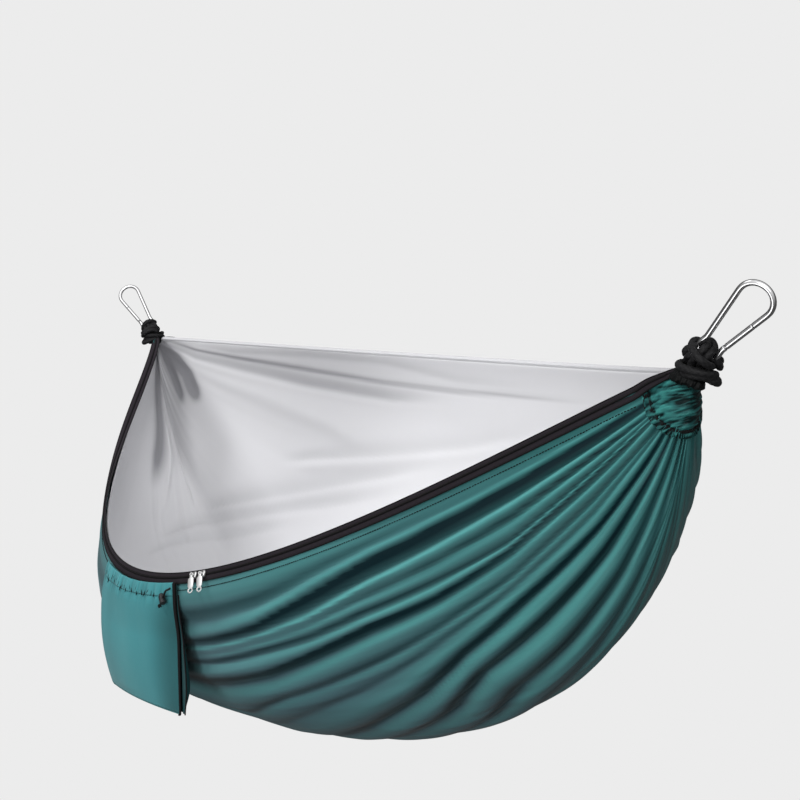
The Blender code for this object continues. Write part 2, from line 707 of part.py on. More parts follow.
# the barrel lies across the cord; the button comes out of its lower left end
lock_across = cord_way.cross(Vector((0.0, -1.0, 0.0))).normalized()
if lock_across.x < 0:
    lock_across = -lock_across
lock_face = lock_across.cross(cord_way).normalized()
lock_place = frame_matrix(lock_centre, cord_way, lock_across.cross(cord_way))
if (lock_place.to_3x3() @ Z).dot(lock_across) < 0:
    lock_place = frame_matrix(lock_centre, cord_way, -lock_across.cross(cord_way))
barrel = cylinder("cord_lock_barrel", LOCK_R, LOCK_LENGTH, lock_place @ Matrix.Translation((0, 0, 0.0010)),
                  "black_plastic", sides=20)
well = cylinder("lock_well", 0.0036, 0.0181, lock_place @ Matrix.Translation((0, 0, -0.0029)), None, CUTTERS, sides=20)
cross = cylinder("lock_cross_hole", 0.0019, 0.0200, frame_matrix(lock_centre, lock_across, lock_face), None, CUTTERS, sides=16)
boolean(barrel, cutter(well), "DIFFERENCE")
boolean(barrel, cutter(cross), "DIFFERENCE")
button = cylinder("cord_lock_button", 0.0033, 0.0118, lock_place @ Matrix.Translation((0, 0, -0.0031)),
                  "black_plastic", sides=20)
window = box("lock_button_window", (0.0200, 0.0038, 0.0062), lock_place, None, CUTTERS, centre=(0.0, 0.0, -0.0015))
boolean(button, cutter(window), "DIFFERENCE")
knot_ball = bmesh.new()
bmesh.ops.create_icosphere(knot_ball, subdivisions=1, radius=0.0028)
knot_mesh = bpy.data.meshes.new("drawcord_knot")
knot_ball.to_mesh(knot_mesh)
knot_ball.free()
stopper = link("drawcord_knot", knot_mesh, "black_rope")
stopper.location = route[-1] + cord_way * 0.0031
place(stopper)
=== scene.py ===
"""Hammock tent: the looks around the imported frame.

The cloth, net, rope work, zip and sack are shaped here at full detail, in the same frame as the CAD part.
Shapes are worked out in the frame midway between the two knots, as in the part's source, and moved by ORIGIN.
"""

import math

import bmesh
import bpy
import numpy as np
from mathutils import Matrix, Vector


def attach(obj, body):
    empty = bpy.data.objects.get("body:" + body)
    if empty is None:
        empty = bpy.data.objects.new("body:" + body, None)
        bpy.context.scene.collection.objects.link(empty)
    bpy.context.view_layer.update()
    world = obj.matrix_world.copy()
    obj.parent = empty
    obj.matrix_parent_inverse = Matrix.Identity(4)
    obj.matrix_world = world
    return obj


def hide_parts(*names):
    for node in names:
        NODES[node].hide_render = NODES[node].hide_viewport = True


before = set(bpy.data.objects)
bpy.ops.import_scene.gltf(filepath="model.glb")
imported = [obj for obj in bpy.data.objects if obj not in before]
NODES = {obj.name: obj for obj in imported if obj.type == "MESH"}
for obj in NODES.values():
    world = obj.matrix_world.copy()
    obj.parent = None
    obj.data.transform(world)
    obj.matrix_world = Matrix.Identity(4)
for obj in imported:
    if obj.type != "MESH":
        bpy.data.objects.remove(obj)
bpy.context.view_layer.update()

# ---------------------------------------------------------------- the part's own numbers
HALF = 1.100
NEAR_OUT, NEAR_OUT_POW = 0.3189, 1.302
NEAR_SAG, NEAR_SAG_POW = 0.3233, 1.244
FAR_OUT, FAR_SAG = 0.2919, 0.0219
BED_DEPTH, BED_DEPTH_POW = 0.5557, 0.532
BOTTOM_SHIFT, BOTTOM_SHIFT_POW, BOTTOM_MIX = -0.0122, 0.787, 0.546
NEAR_LEAN, NEAR_REACH, NEAR_ROUND = 0.317, 0.854, 0.501
FAR_LEAN, FAR_REACH, FAR_ROUND = 0.607, 0.448, 0.536
POCKET_DENT, DENT_AT, DENT_WIDTH = 0.032, 0.13, 0.17
NET_CLEAR = 0.0135
SEAM_RADIUS, SLEEVE_TOP = 0.0580, 0.0255
ROPE_R, WHIP_R, WHIP_TURNS, WHIP_PITCH = 0.0036, 0.0192, 2.0, 0.0077
KNOT_ASIDE, KNOT_DROP = 0.0122, -0.0100
BIGHT_HIGH, BIGHT_WIDE = 0.0115, 0.0089
CROSS_WIDE, CROSS_DEEP, CROSS_LIFT, CROSS_AT = 0.0152, 0.0190, 0.0070, -0.0005
CROSS_ARC = math.radians(65)
HOOK_ROD, HOOK_LENGTH, HOOK_EYE_R, HOOK_BOW_R, HOOK_SET_OFF = 0.00325, 0.1140, 0.0110, 0.0192, 0.0200


def unit(v):
    v = np.asarray(v, float)
    return v / np.maximum(np.linalg.norm(v, axis=-1, keepdims=True), 1e-12)


AXIS = {"left": unit([-0.5630, -0.3462, 0.7504]), "right": unit([0.7327, 0.2505, 0.6328])}
FACE = {"left": np.array([0.8018, -0.4489, 0.3944]), "right": np.array([0.5709, -0.7323, -0.3712])}
KNOT = {"left": np.array([-HALF, 0.0, 0.0]), "right": np.array([HALF, 0.0, 0.0])}
ORIGIN = KNOT["left"] + AXIS["left"] * (HOOK_SET_OFF + HOOK_LENGTH - HOOK_ROD)
UP = np.array([0.0, 0.0, 1.0])


def side_axes(side):
    axis, face = AXIS[side], FACE[side]
    face = unit(face - axis * face.dot(axis))
    gate = np.cross(face, axis)
    return axis, face, (-gate if side == "right" else gate)


# ---------------------------------------------------------------- camera
def make_camera():
    azimuth, pitch = 1.20712231, 0.04608416
    look = np.array([-math.sin(azimuth) * math.cos(pitch), math.cos(azimuth) * math.cos(pitch), -math.sin(pitch)])
    right = np.array([math.cos(azimuth), math.sin(azimuth), 0.0])
    up = np.cross(right, look)
    data = bpy.data.cameras.new("camera")
    data.sensor_width = 36.0
    data.lens = 94.853
    data.clip_start, data.clip_end = 0.05, 120.0
    cam = bpy.data.objects.new("camera", data)
    bpy.context.scene.collection.objects.link(cam)
    turn = Matrix((right, up, -look)).transposed().to_4x4()
    cam.matrix_world = Matrix.Translation((4.18021, -0.99703, -0.02997)) @ turn
    bpy.context.scene.camera = cam


make_camera()


# ---------------------------------------------------------------- the bed's surface
def share(u, power):
    return np.maximum(0.0, 1.0 - u * u) ** power


def smooth(low, high, x):
    t = np.clip((x - low) / (high - low), 0.0, 1.0)
    return t * t * (3.0 - 2.0 * t)


def stack(x, y, z):
    return np.stack(np.broadcast_arrays(x, y, z), -1)


def near_rim(u):
    u = np.asarray(u, float)
    return stack(HALF * u, -NEAR_OUT * share(u, NEAR_OUT_POW), -NEAR_SAG * share(u, NEAR_SAG_POW))


def far_rim(u):
    u = np.asarray(u, float)
    return stack(HALF * u, FAR_OUT * share(u, 1.0), -FAR_SAG * share(u, 1.0))


def bezier(a, b, c, d, t):
    t = t[..., None]
    s = 1.0 - t
    return a * s ** 3 + b * (3 * s * s * t) + c * (3 * s * t * t) + d * t ** 3


def bed(u, tau):
    """Outer face of the bed: u from knot to knot, tau from 0, near edge, by 1, lowest line, to 2, far edge."""
    u, tau = np.broadcast_arrays(np.asarray(u, float), np.asarray(tau, float))
    n, m = near_rim(u), far_rim(u)
    low = stack(HALF * u, BOTTOM_SHIFT * share(u, BOTTOM_SHIFT_POW) + BOTTOM_MIX * (n[..., 1] + m[..., 1]),
                -BED_DEPTH * share(u, BED_DEPTH_POW))
    down = np.array([0.0, -math.sin(NEAR_LEAN), -math.cos(NEAR_LEAN)])
    bow = n + down * ((n[..., 2] - low[..., 2]) * NEAR_REACH)[..., None]
    turn = low.copy()
    turn[..., 1] -= (low[..., 1] - n[..., 1]) * NEAR_ROUND
    near = bezier(n, bow, turn, low, np.clip(tau, 0.0, 1.0))
    press = smooth(0.0, 0.2, tau) * (1.0 - smooth(0.55, 0.95, tau))
    near[..., 1] += POCKET_DENT * np.exp(-((u - DENT_AT) / DENT_WIDTH) ** 2) * press
    down = np.array([0.0, math.sin(FAR_LEAN), -math.cos(FAR_LEAN)])
    bow = m + down * ((m[..., 2] - low[..., 2]) * FAR_REACH)[..., None]
    turn = low.copy()
    turn[..., 1] += (m[..., 1] - low[..., 1]) * FAR_ROUND
    far = bezier(low, turn, bow, m, np.clip(tau - 1.0, 0.0, 1.0))
    return np.where((tau <= 1.0)[..., None], near, far)


def bed_normal(u, tau):
    u, tau = np.broadcast_arrays(np.asarray(u, float), np.asarray(tau, float))
    along = bed(np.minimum(0.99995, u + 1e-4), tau) - bed(np.maximum(-0.99995, u - 1e-4), tau)
    around = bed(u, np.minimum(2.0, tau + 1e-3)) - bed(u, np.maximum(0.0, tau - 1e-3))
    return unit(np.cross(around, along))


def station_at(tau, radius, side):
    tau = np.asarray(tau, float)
    sign = 1.0 if side == "right" else -1.0
    low, high = np.full(tau.shape, 0.7), np.full(tau.shape, 0.99999)
    for _ in range(44):
        mid = 0.5 * (low + high)
        outside = np.linalg.norm(bed(sign * mid, tau) - KNOT[side], axis=-1) > radius
        low, high = np.where(outside, mid, low), np.where(outside, high, mid)
    return sign * 0.5 * (low + high)


def between(s, tau, radius):
    a = np.arcsin(station_at(tau, radius, "left"))
    b = np.arcsin(station_at(tau, radius, "right"))
    return np.sin(a + (b - a) * s)


def wander(x, y, seed, cells=61):
    """Smooth noise from -1 to 1 on a repeating grid of one unit."""
    g = np.random.default_rng(seed).uniform(-1.0, 1.0, (cells, cells))
    x, y = np.broadcast_arrays(np.asarray(x, float), np.asarray(y, float))
    xi, yi = np.floor(x).astype(int), np.floor(y).astype(int)
    fx, fy = x - xi, y - yi
    fx, fy = fx * fx * (3 - 2 * fx), fy * fy * (3 - 2 * fy)
    a, b = g[xi % cells, yi % cells], g[(xi + 1) % cells, yi % cells]
    c, d = g[xi % cells, (yi + 1) % cells], g[(xi + 1) % cells, (yi + 1) % cells]
    return (a * (1 - fx) + b * fx) * (1 - fy) + (c * (1 - fx) + d * fx) * fy


# ---------------------------------------------------------------- folds of the bed cloth
# A fold runs from knot to knot. Each row gives, at these distances from the middle, how deep it is, the tau of
# its dark underside and the tau of the lit slope just below it. The hollow lies between the two.
FOLD_U = np.array([0.0, 0.2, 0.3, 0.4, 0.5, 0.6, 0.7, 0.8, 0.9, 0.95, 1.0])
NEAR_FOLDS = [
    ([0.55, 0.55, 0.55, 0.6, 0.5, 0.2, 0.0, 0.0, 0.0, 0.0, 0.0],
     [0.088, 0.088, 0.088, 0.080, 0.060, 0.046, 0.040, 0.035, 0.026, 0.022, 0.018],
     [0.140, 0.140, 0.138, 0.125, 0.088, 0.062, 0.055, 0.050, 0.038, 0.032, 0.028]),
    ([1.0, 1.0, 1.0, 1.1, 1.2, 1.2, 1.2, 1.2, 1.2, 1.1, 0.9],
     [0.175, 0.172, 0.168, 0.160, 0.125, 0.092, 0.082, 0.073, 0.058, 0.048, 0.042],
     [0.205, 0.203, 0.198, 0.190, 0.178, 0.148, 0.135, 0.120, 0.095, 0.080, 0.070]),
    ([0.0, 0.0, 0.0, 0.0, 0.1, 0.3, 0.6, 0.9, 1.0, 1.0, 0.9],
     [0.219, 0.218, 0.214, 0.208, 0.200, 0.175, 0.165, 0.150, 0.115, 0.098, 0.086],
     [0.224, 0.222, 0.218, 0.212, 0.205, 0.184, 0.178, 0.170, 0.135, 0.115, 0.101]),
    ([0.8, 0.8, 0.8, 0.9, 0.9, 0.9, 0.8, 0.8, 0.8, 0.8, 0.8],
     [0.245, 0.243, 0.240, 0.232, 0.230, 0.215, 0.218, 0.214, 0.160, 0.135, 0.118],
     [0.268, 0.266, 0.262, 0.256, 0.254, 0.238, 0.236, 0.228, 0.173, 0.146, 0.127]),
    ([1.2, 1.2, 1.2, 1.2, 1.2, 1.2, 1.1, 1.0, 1.0, 1.0, 0.9],
     [0.325, 0.322, 0.315, 0.312, 0.285, 0.262, 0.265, 0.242, 0.182, 0.152, 0.135],
     [0.390, 0.388, 0.378, 0.368, 0.340, 0.312, 0.302, 0.275, 0.214, 0.177, 0.157]),
    ([0.8, 0.8, 0.8, 0.8, 0.7, 0.6, 0.6, 0.6, 0.6, 0.6, 0.6],
     [0.530, 0.515, 0.460, 0.418, 0.400, 0.378, 0.352, 0.320, 0.258, 0.212, 0.184],
     [0.562, 0.545, 0.490, 0.448, 0.430, 0.405, 0.376, 0.342, 0.284, 0.236, 0.204]),
    ([0.4, 0.4, 0.4, 0.4, 0.4, 0.4, 0.4, 0.4, 0.4, 0.4, 0.4],
     [0.620, 0.605, 0.560, 0.510, 0.475, 0.445, 0.400, 0.360, 0.308, 0.262, 0.226],
     [0.660, 0.645, 0.600, 0.550, 0.510, 0.475, 0.425, 0.378, 0.327, 0.280, 0.243]),
    ([0.9, 0.9, 0.9, 1.0, 1.2, 1.4, 1.5, 1.5, 1.3, 1.2, 1.0],
     [0.800, 0.790, 0.760, 0.710, 0.650, 0.588, 0.492, 0.430, 0.387, 0.337, 0.293],
     [0.860, 0.850, 0.820, 0.770, 0.708, 0.642, 0.540, 0.483, 0.423, 0.373, 0.328]),
    ([0.9, 0.9, 0.9, 0.9, 1.0, 1.1, 1.3, 1.3, 1.2, 1.1, 0.9],
     [0.920, 0.910, 0.890, 0.840, 0.780, 0.715, 0.602, 0.560, 0.508, 0.450, 0.395],
     [0.980, 0.970, 0.950, 0.910, 0.860, 0.800, 0.670, 0.635, 0.580, 0.528, 0.465]),
    ([0.7, 0.7, 0.7, 0.7, 0.8, 0.9, 1.0, 1.0, 0.8, 0.7, 0.6],
     [1.060, 1.050, 1.030, 1.000, 0.950, 0.895, 0.780, 0.750, 0.690, 0.622, 0.555],
     [1.130, 1.120, 1.100, 1.070, 1.030, 0.975, 0.880, 0.842, 0.780, 0.718, 0.650]),
    ([0.7, 0.7, 0.7, 0.7, 0.7, 0.7, 0.6, 0.5, 0.4, 0.4, 0.4],
     [1.200, 1.180, 1.165, 1.140, 1.110, 1.065, 0.996, 0.950, 0.880, 0.806, 0.742],
     [1.260, 1.245, 1.230, 1.210, 1.180, 1.140, 1.090, 1.050, 0.975, 0.910, 0.850]),
]
FOLD_FINE_U = np.linspace(-1.0, 1.0, 401)
LOOK = np.array([-0.933604, 0.355333, -0.046068])
STEEP = 0.30


def fold_rows():
    """Depth, dark tau and lit tau of every fold at the fine steps of u, near ones as listed, then the far wall's."""
    rng = np.random.default_rng(41)
    rows = [tuple(np.array(part) for part in row) for row in NEAR_FOLDS]
    count = 9
    steps = np.cumsum(rng.uniform(0.6, 1.4, count + 1))
    steps = steps / steps[-1]
    last = rows[-1][2] + 0.03
    for k in range(count):
        bend = np.interp(FOLD_U, [0.0, 0.5, 1.0], rng.uniform(-0.010, 0.010, 3))
        dark = last + (1.94 - last) * steps[k] + bend
        rows.append((np.full(11, rng.uniform(0.35, 0.8)), dark, dark + (1.94 - last) * 0.035))
    a = np.abs(FOLD_FINE_U)
    left = 1.0 - smooth(-0.25, 0.15, FOLD_FINE_U)
    out = []
    for depth, dark, lit in rows:
        shift, gain = rng.uniform(-0.30, 0.30), rng.uniform(0.55, 1.15)
        d, b = np.interp(a, FOLD_U, dark), np.interp(a, FOLD_U, lit)
        move = (b - d) * shift * 1.6 * left * smooth(0.0, 0.3, a)
        out.append((np.interp(a, FOLD_U, depth) * (1 + (gain - 1) * left), d + move, b + move))
    return out


def fold_tables():
    """Places and heights in metres of each hollow and ridge at the fine steps of u."""
    rows = fold_rows()
    tau, high = [np.zeros(401)], [np.zeros(401)]
    first = rows[0][1] * 0.42
    tau.append(first)
    high.append(rows[0][0] * 0.45)
    for k, (depth, dark, lit) in enumerate(rows):
        tau.append(dark + 0.60 * (lit - dark))
        high.append(-depth)
        if k + 1 < len(rows):
            after = rows[k + 1]
            tau.append(lit + 0.40 * (after[1] - lit))
            high.append(0.38 * (depth + after[0]))
    tau.append(np.full(401, 1.975))
    high.append(np.full(401, 0.2))
    tau.append(np.full(401, 2.0))
    high.append(np.zeros(401))
    tau = np.maximum.accumulate(np.array(tau) + np.arange(len(tau))[:, None] * 1e-6, axis=0)
    tau = np.clip(tau, 0.0, 2.0)
    high = np.array(high)
    long = np.linalg.norm(bed(FOLD_FINE_U, np.minimum(2.0, tau + 5e-3)) - bed(FOLD_FINE_U, np.maximum(0.0, tau - 5e-3)), axis=-1) / 1e-2
    wide = np.zeros_like(tau)
    wide[1:-1] = 0.5 * (tau[2:] - tau[:-2]) * long[1:-1]
    calm = 0.75 + 0.25 * smooth(0.05, 0.5, np.abs(FOLD_FINE_U))
    metres = high * STEEP * np.minimum(wide, 0.050) * calm
    metres[:, :] = np.where(tau > 1.25, np.maximum(metres, -0.0045), metres)
    turned = -(bed_normal(np.broadcast_to(FOLD_FINE_U, tau.shape), np.clip(tau, 0.01, 1.99)) @ LOOK)
    metres = metres * np.where(tau < 1.5, 0.14 + 0.86 * smooth(0.06, 0.55, turned), 1.0)
    return tau, np.clip(metres, -0.016, 0.016)


def painted_shading_tables():
    """Places of the painted shade on the folds' dark undersides and the painted highlight on their pale upper slopes,
    and how dark or pale each is, from -1 to 1.
    """
    rows = fold_rows()
    tau, tone = [np.zeros(401)], [np.full(401, 0.10)]
    for k, (depth, dark, lit) in enumerate(rows):
        strong = np.minimum(depth, 1.3) / 1.3
        before = rows[k - 1][2] if k else np.full(401, 0.03)
        gap = np.maximum(dark - before, 1e-4)
        tau += [before + gap * 0.30, before + gap * 0.58, before + gap * 0.80, dark, dark + 0.45 * (lit - dark), lit]
        tone += [0.52 * strong, 0.18 * strong, -0.32 * strong, -0.92 * strong, -0.55 * strong, 0.95 * strong]
    tau.append(np.full(401, 2.0))
    tone.append(np.zeros(401))
    tau = np.maximum.accumulate(np.array(tau) + np.arange(len(tau))[:, None] * 1e-6, axis=0)
    tone = np.array(tone)
    # the far wall's painted shading is weaker
    tone = np.where(tau > 1.35, tone * 0.45, tone)
    return tau, tone


FOLD_TAU, FOLD_M = fold_tables()
SHADING_TAU, SHADING_LEVEL = painted_shading_tables()


# painted shading of the bed cloth at (u, tau): shade on the folds' undersides, highlight on their upper slopes
def painted_fold_shading(u, tau):
    u, tau = np.broadcast_arrays(np.asarray(u, float), np.asarray(tau, float))
    x = (np.clip(u, -1.0, 1.0) + 1.0) * 200.0
    i = np.minimum(x.astype(int), 399)
    f = x - i
    out = np.zeros(u.shape)
    for k in range(1, len(SHADING_TAU)):
        t0 = SHADING_TAU[k - 1][i] * (1 - f) + SHADING_TAU[k - 1][i + 1] * f
        t1 = SHADING_TAU[k][i] * (1 - f) + SHADING_TAU[k][i + 1] * f
        h0 = SHADING_LEVEL[k - 1][i] * (1 - f) + SHADING_LEVEL[k - 1][i + 1] * f
        h1 = SHADING_LEVEL[k][i] * (1 - f) + SHADING_LEVEL[k][i + 1] * f
        s = np.clip((tau - t0) / np.maximum(t1 - t0, 1e-9), 0.0, 1.0)
        out = np.where((tau >= t0) & (tau < t1), h0 + (h1 - h0) * s * s * (3 - 2 * s), out)
    return out


def folds(u, tau):
    """Height in metres of the folds over the bed's outer face."""
    u, tau = np.broadcast_arrays(np.asarray(u, float), np.asarray(tau, float))
    x = (np.clip(u, -1.0, 1.0) + 1.0) * 200.0
    i = np.minimum(x.astype(int), 399)
    f = x - i
    out = np.zeros(u.shape)
    t0 = FOLD_TAU[0][i] * (1 - f) + FOLD_TAU[0][i + 1] * f
    h0 = FOLD_M[0][i] * (1 - f) + FOLD_M[0][i + 1] * f
    for k in range(1, len(FOLD_TAU)):
        t1 = FOLD_TAU[k][i] * (1 - f) + FOLD_TAU[k][i + 1] * f
        h1 = FOLD_M[k][i] * (1 - f) + FOLD_M[k][i + 1] * f
        inside = (tau >= t0) & ((tau <= t1) if k == len(FOLD_TAU) - 1 else (tau < t1))
        s = np.clip((tau - t0) / np.maximum(t1 - t0, 1e-9), 0.0, 1.0)
        even = 0.5 - 0.5 * np.cos(np.pi * s)
        cusp = np.where(h1 > h0, np.sin(0.5 * np.pi * s), 1.0 - np.cos(0.5 * np.pi * s))
        out = np.where(inside, h0 + (h1 - h0) * (0.35 * even + 0.65 * cusp), out)
        t0, h0 = t1, h1
    return out


PLEATS, BROAD_PLEATS = 31, 11


def end_pleats(u, tau):
    """Small pleats that start at each end's gathering seam and soon die out, on broader ones that run on into the cloth."""
    side = np.where(u > 0, 1.0, -1.0)
    far = np.linalg.norm(bed(u, tau) - side[..., None] * KNOT["right"], axis=-1)
    q = tau / 2.0
    gone = np.maximum(0.0, far - SEAM_RADIUS - 0.008)
    lanes = q * PLEATS + 0.9 * wander(q * 9.0 + 3.0 * side, 1.5 + 0.0 * q, 5)
    tall = 0.0014 * (0.75 + 0.5 * wander(q * PLEATS, 7.3 + side, 6))
    reach = 0.024 * (1.0 + 0.6 * wander(q * PLEATS * 0.7, 3.1 + side, 8))
    small = tall * np.exp(-gone / np.maximum(reach, 0.010)) * np.cos(2 * np.pi * lanes)
    lanes = q * BROAD_PLEATS + 0.5 * wander(q * 6.0 + 5.0 * side, 4.5 + 0.0 * q, 9)
    reach = 0.075 * (1.0 + 0.5 * wander(q * BROAD_PLEATS * 0.7, 5.1 + side, 10))
    broad = 0.0026 * np.exp(-gone / np.maximum(reach, 0.03)) * np.cos(2 * np.pi * lanes)
    return small + broad


def small_wrinkles(u, tau):
    """Low wrinkles that lie along the folds."""
    edge = smooth(0.0, 0.05, tau) * (1.0 - smooth(1.95, 2.0, tau))
    slow = wander(u * 5.0 + 2.0, tau * 34.0, 21) * 0.0011 + wander(u * 9.0, tau * 70.0 + 5.0, 22) * 0.00045
    return slow * edge * (0.4 + 0.6 * smooth(0.0, 0.35, 1.0 - np.abs(u)))


def wall_length(u):
    """Metres of near wall per unit of tau, at the near edge."""
    drop = -NEAR_SAG * share(u, NEAR_SAG_POW) + BED_DEPTH * share(u, BED_DEPTH_POW)
    return np.maximum(3.0 * NEAR_REACH * drop, 0.03)


def hem_pucker(u, tau):
    """The topstitched fold below the zip pulls the cloth into tiny even puckers."""
    depth = tau * wall_length(u)
    ridge = np.exp(-((depth - 0.0195) / 0.0040) ** 2)
    return ridge * (0.00035 * np.sin(u * 2 * np.pi * 130.0 + 1.5 * wander(u * 20.0, 0.5, 31)) - 0.0004)


def bed_height(u, tau):
    return folds(u, tau) + end_pleats(u, tau) + small_wrinkles(u, tau) + hem_pucker(u, tau)


def cloth(u, tau, off=0.0):
    """Outer face of the folded cloth, moved outwards by off."""
    return bed(u, tau) + bed_normal(u, tau) * (bed_height(u, tau) - 0.0010 + off)[..., None]


# ---------------------------------------------------------------- mesh helpers
def new_object(name, mesh):
    obj = bpy.data.objects.new(name, mesh)
    bpy.context.scene.collection.objects.link(obj)
    return obj


def mesh_object(name, points, faces, uvs=None, values=None, smooth_shade=True):
    """points are in the knots' frame. uvs are per point, values a dict of per-point numbers."""
    mesh = bpy.data.meshes.new(name)
    points = np.asarray(points, float).reshape(-1, 3) - ORIGIN
    faces = np.asarray(faces, int)
    mesh.vertices.add(len(points))
    mesh.vertices.foreach_set("co", points.astype(np.float32).ravel())
    size = faces.shape[1]
    mesh.loops.add(faces.size)
    mesh.loops.foreach_set("vertex_index", faces.astype(np.int32).ravel())
    mesh.polygons.add(len(faces))
    mesh.polygons.foreach_set("loop_start", np.arange(0, faces.size, size, dtype=np.int32))
    mesh.polygons.foreach_set("loop_total", np.full(len(faces), size, np.int32))
    mesh.update(calc_edges=True)
    if uvs is not None:
        layer = mesh.uv_layers.new(name="Cloth")
        layer.data.foreach_set("uv", np.asarray(uvs, np.float32).reshape(-1, 2)[faces.ravel()].ravel())
    for key, value in (values or {}).items():
        attribute = mesh.attributes.new(key, "FLOAT", "POINT")
        attribute.data.foreach_set("value", np.asarray(value, np.float32).ravel())
    mesh.validate()
    if smooth_shade:
        mesh.shade_smooth()
    return new_object(name, mesh)


def grid_faces(rows, cols, wrap_rows=False, wrap_cols=False):
    r = np.arange(rows if wrap_rows else rows - 1)
    c = np.arange(cols if wrap_cols else cols - 1)
    r, c = np.meshgrid(r, c, indexing="ij")
    r2, c2 = (r + 1) % rows, (c + 1) % cols
    return np.stack([r * cols + c, r * cols + c2, r2 * cols + c2, r2 * cols + c], -1).reshape(-1, 4)


def grid_object(name, points, uvs=None, values=None, flip=False):
    rows, cols = points.shape[:2]
    faces = grid_faces(rows, cols)
    if flip:
        faces = faces[:, ::-1]
    return mesh_object(name, points, faces, uvs, values)


def thicken(obj, thick, offset=-1.0):
    skin = obj.modifiers.new("Thickness", "SOLIDIFY")
    skin.thickness = thick
    skin.offset = offset
    return obj


def resample(points, step):
    """A smooth Catmull-Rom curve through the points, at even steps."""
    p = np.asarray(points, float)
    ends = np.vstack([2 * p[0] - p[1], p, 2 * p[-1] - p[-2]])
    fine = []
    for i in range(len(p) - 1):
        a, b, c, d = ends[i:i + 4]
        t = np.linspace(0, 1, 12, endpoint=False)[:, None]
        fine.append(0.5 * (2 * b + (c - a) * t + (2 * a - 5 * b + 4 * c - d) * t ** 2 + (3 * b - a - 3 * c + d) * t ** 3))
    fine = np.vstack(fine + [p[-1:]])
    run = np.concatenate([[0], np.cumsum(np.linalg.norm(np.diff(fine, axis=0), axis=1))])
    count = max(4, int(round(run[-1] / step)))
    at = np.linspace(0, run[-1], count + 1)
    return np.stack([np.interp(at, run, fine[:, k]) for k in range(3)], -1), at


def frames_along(line, hint=None):
    """Tangent and two cross directions that don't twist."""
    t = unit(np.gradient(line, axis=0))
    a = np.zeros_like(line)
    start = np.array([0.0, 0.0, 1.0]) if hint is None else np.asarray(hint, float)
    if abs(np.dot(start, t[0])) > 0.95:
        start = np.array([0.0, 1.0, 0.0])
    a[0] = unit(start - t[0] * start.dot(t[0]))
    for i in range(1, len(line)):
        v = a[i - 1] - t[i] * a[i - 1].dot(t[i])
        a[i] = unit(v)
    return t, a, np.cross(t, a)


def tube_mesh(name, line, radius, sides=24, caps="round", values=None):
    """radius is one number, one per point, or one per point and side. Both ends are closed."""
    line = np.asarray(line, float)
    t, a, b = frames_along(line)
    angle = np.linspace(0, 2 * np.pi, sides, endpoint=False)
    r = np.broadcast_to(np.asarray(radius, float).reshape(-1, 1) if np.ndim(radius) < 2 else radius, (len(line), sides))
    ring = a[:, None, :] * np.cos(angle)[None, :, None] + b[:, None, :] * np.sin(angle)[None, :, None]
    points = line[:, None, :] + ring * r[..., None]
    first, last = [], []
    if caps == "round":
        for k in (0.35, 0.7, 0.92):
            squeeze, push = math.sqrt(1 - k * k), k
            mean0, mean1 = r[0].mean(), r[-1].mean()
            first.insert(0, line[0] + ring[0] * (r[0] * squeeze)[:, None] - t[0] * mean0 * push)
            last.append(line[-1] + ring[-1] * (r[-1] * squeeze)[:, None] + t[-1] * mean1 * push)
    rings = np.concatenate([np.array(first).reshape(-1, sides, 3), points, np.array(last).reshape(-1, sides, 3)])
    faces = grid_faces(len(rings), sides, wrap_cols=True)
    verts = rings.reshape(-1, 3)
    push = 1.0 if caps == "round" else 0.0
    tip0, tip1 = line[0] - t[0] * r[0].mean() * push, line[-1] + t[-1] * r[-1].mean() * push
    count = len(verts)
    verts = np.vstack([verts, tip0, tip1])
    c = np.arange(sides)
    fan0 = np.stack([np.full(sides, count), (c + 1) % sides, c, c], -1)
    base = (len(rings) - 1) * sides
    fan1 = np.stack([np.full(sides, count + 1), base + c, base + (c + 1) % sides, base + (c + 1) % sides], -1)
    obj = tri_quad_object(name, verts, faces, np.vstack([fan0[:, :3], fan1[:, :3]]))
    if values:
        for key, value in values.items():
            attribute = obj.data.attributes.new(key, "FLOAT", "POINT")
            v = np.broadcast_to(np.asarray(value, float).reshape(len(line), -1), (len(line), sides))
            v = np.concatenate([np.repeat(v[:1], len(first), 0), v, np.repeat(v[-1:], len(last), 0)]).ravel()
            attribute.data.foreach_set("value", np.concatenate([v, [v[0], v[-1]]]).astype(np.float32))
    return obj


def tri_quad_object(name, verts, quads, tris):
    mesh = bpy.data.meshes.new(name)
    points = np.asarray(verts, float) - ORIGIN
    loops = np.concatenate([np.asarray(quads, int).ravel(), np.asarray(tris, int).ravel()])
    starts = np.concatenate([np.arange(len(quads)) * 4, len(quads) * 4 + np.arange(len(tris)) * 3])
    totals = np.concatenate([np.full(len(quads), 4), np.full(len(tris), 3)])
    mesh.vertices.add(len(points))
    mesh.vertices.foreach_set("co", points.astype(np.float32).ravel())
    mesh.loops.add(len(loops))
    mesh.loops.foreach_set("vertex_index", loops.astype(np.int32))
    mesh.polygons.add(len(starts))
    mesh.polygons.foreach_set("loop_start", starts.astype(np.int32))
    mesh.polygons.foreach_set("loop_total", totals.astype(np.int32))
    mesh.update(calc_edges=True)
    mesh.validate()
    mesh.shade_smooth()
    return new_object(name, mesh)


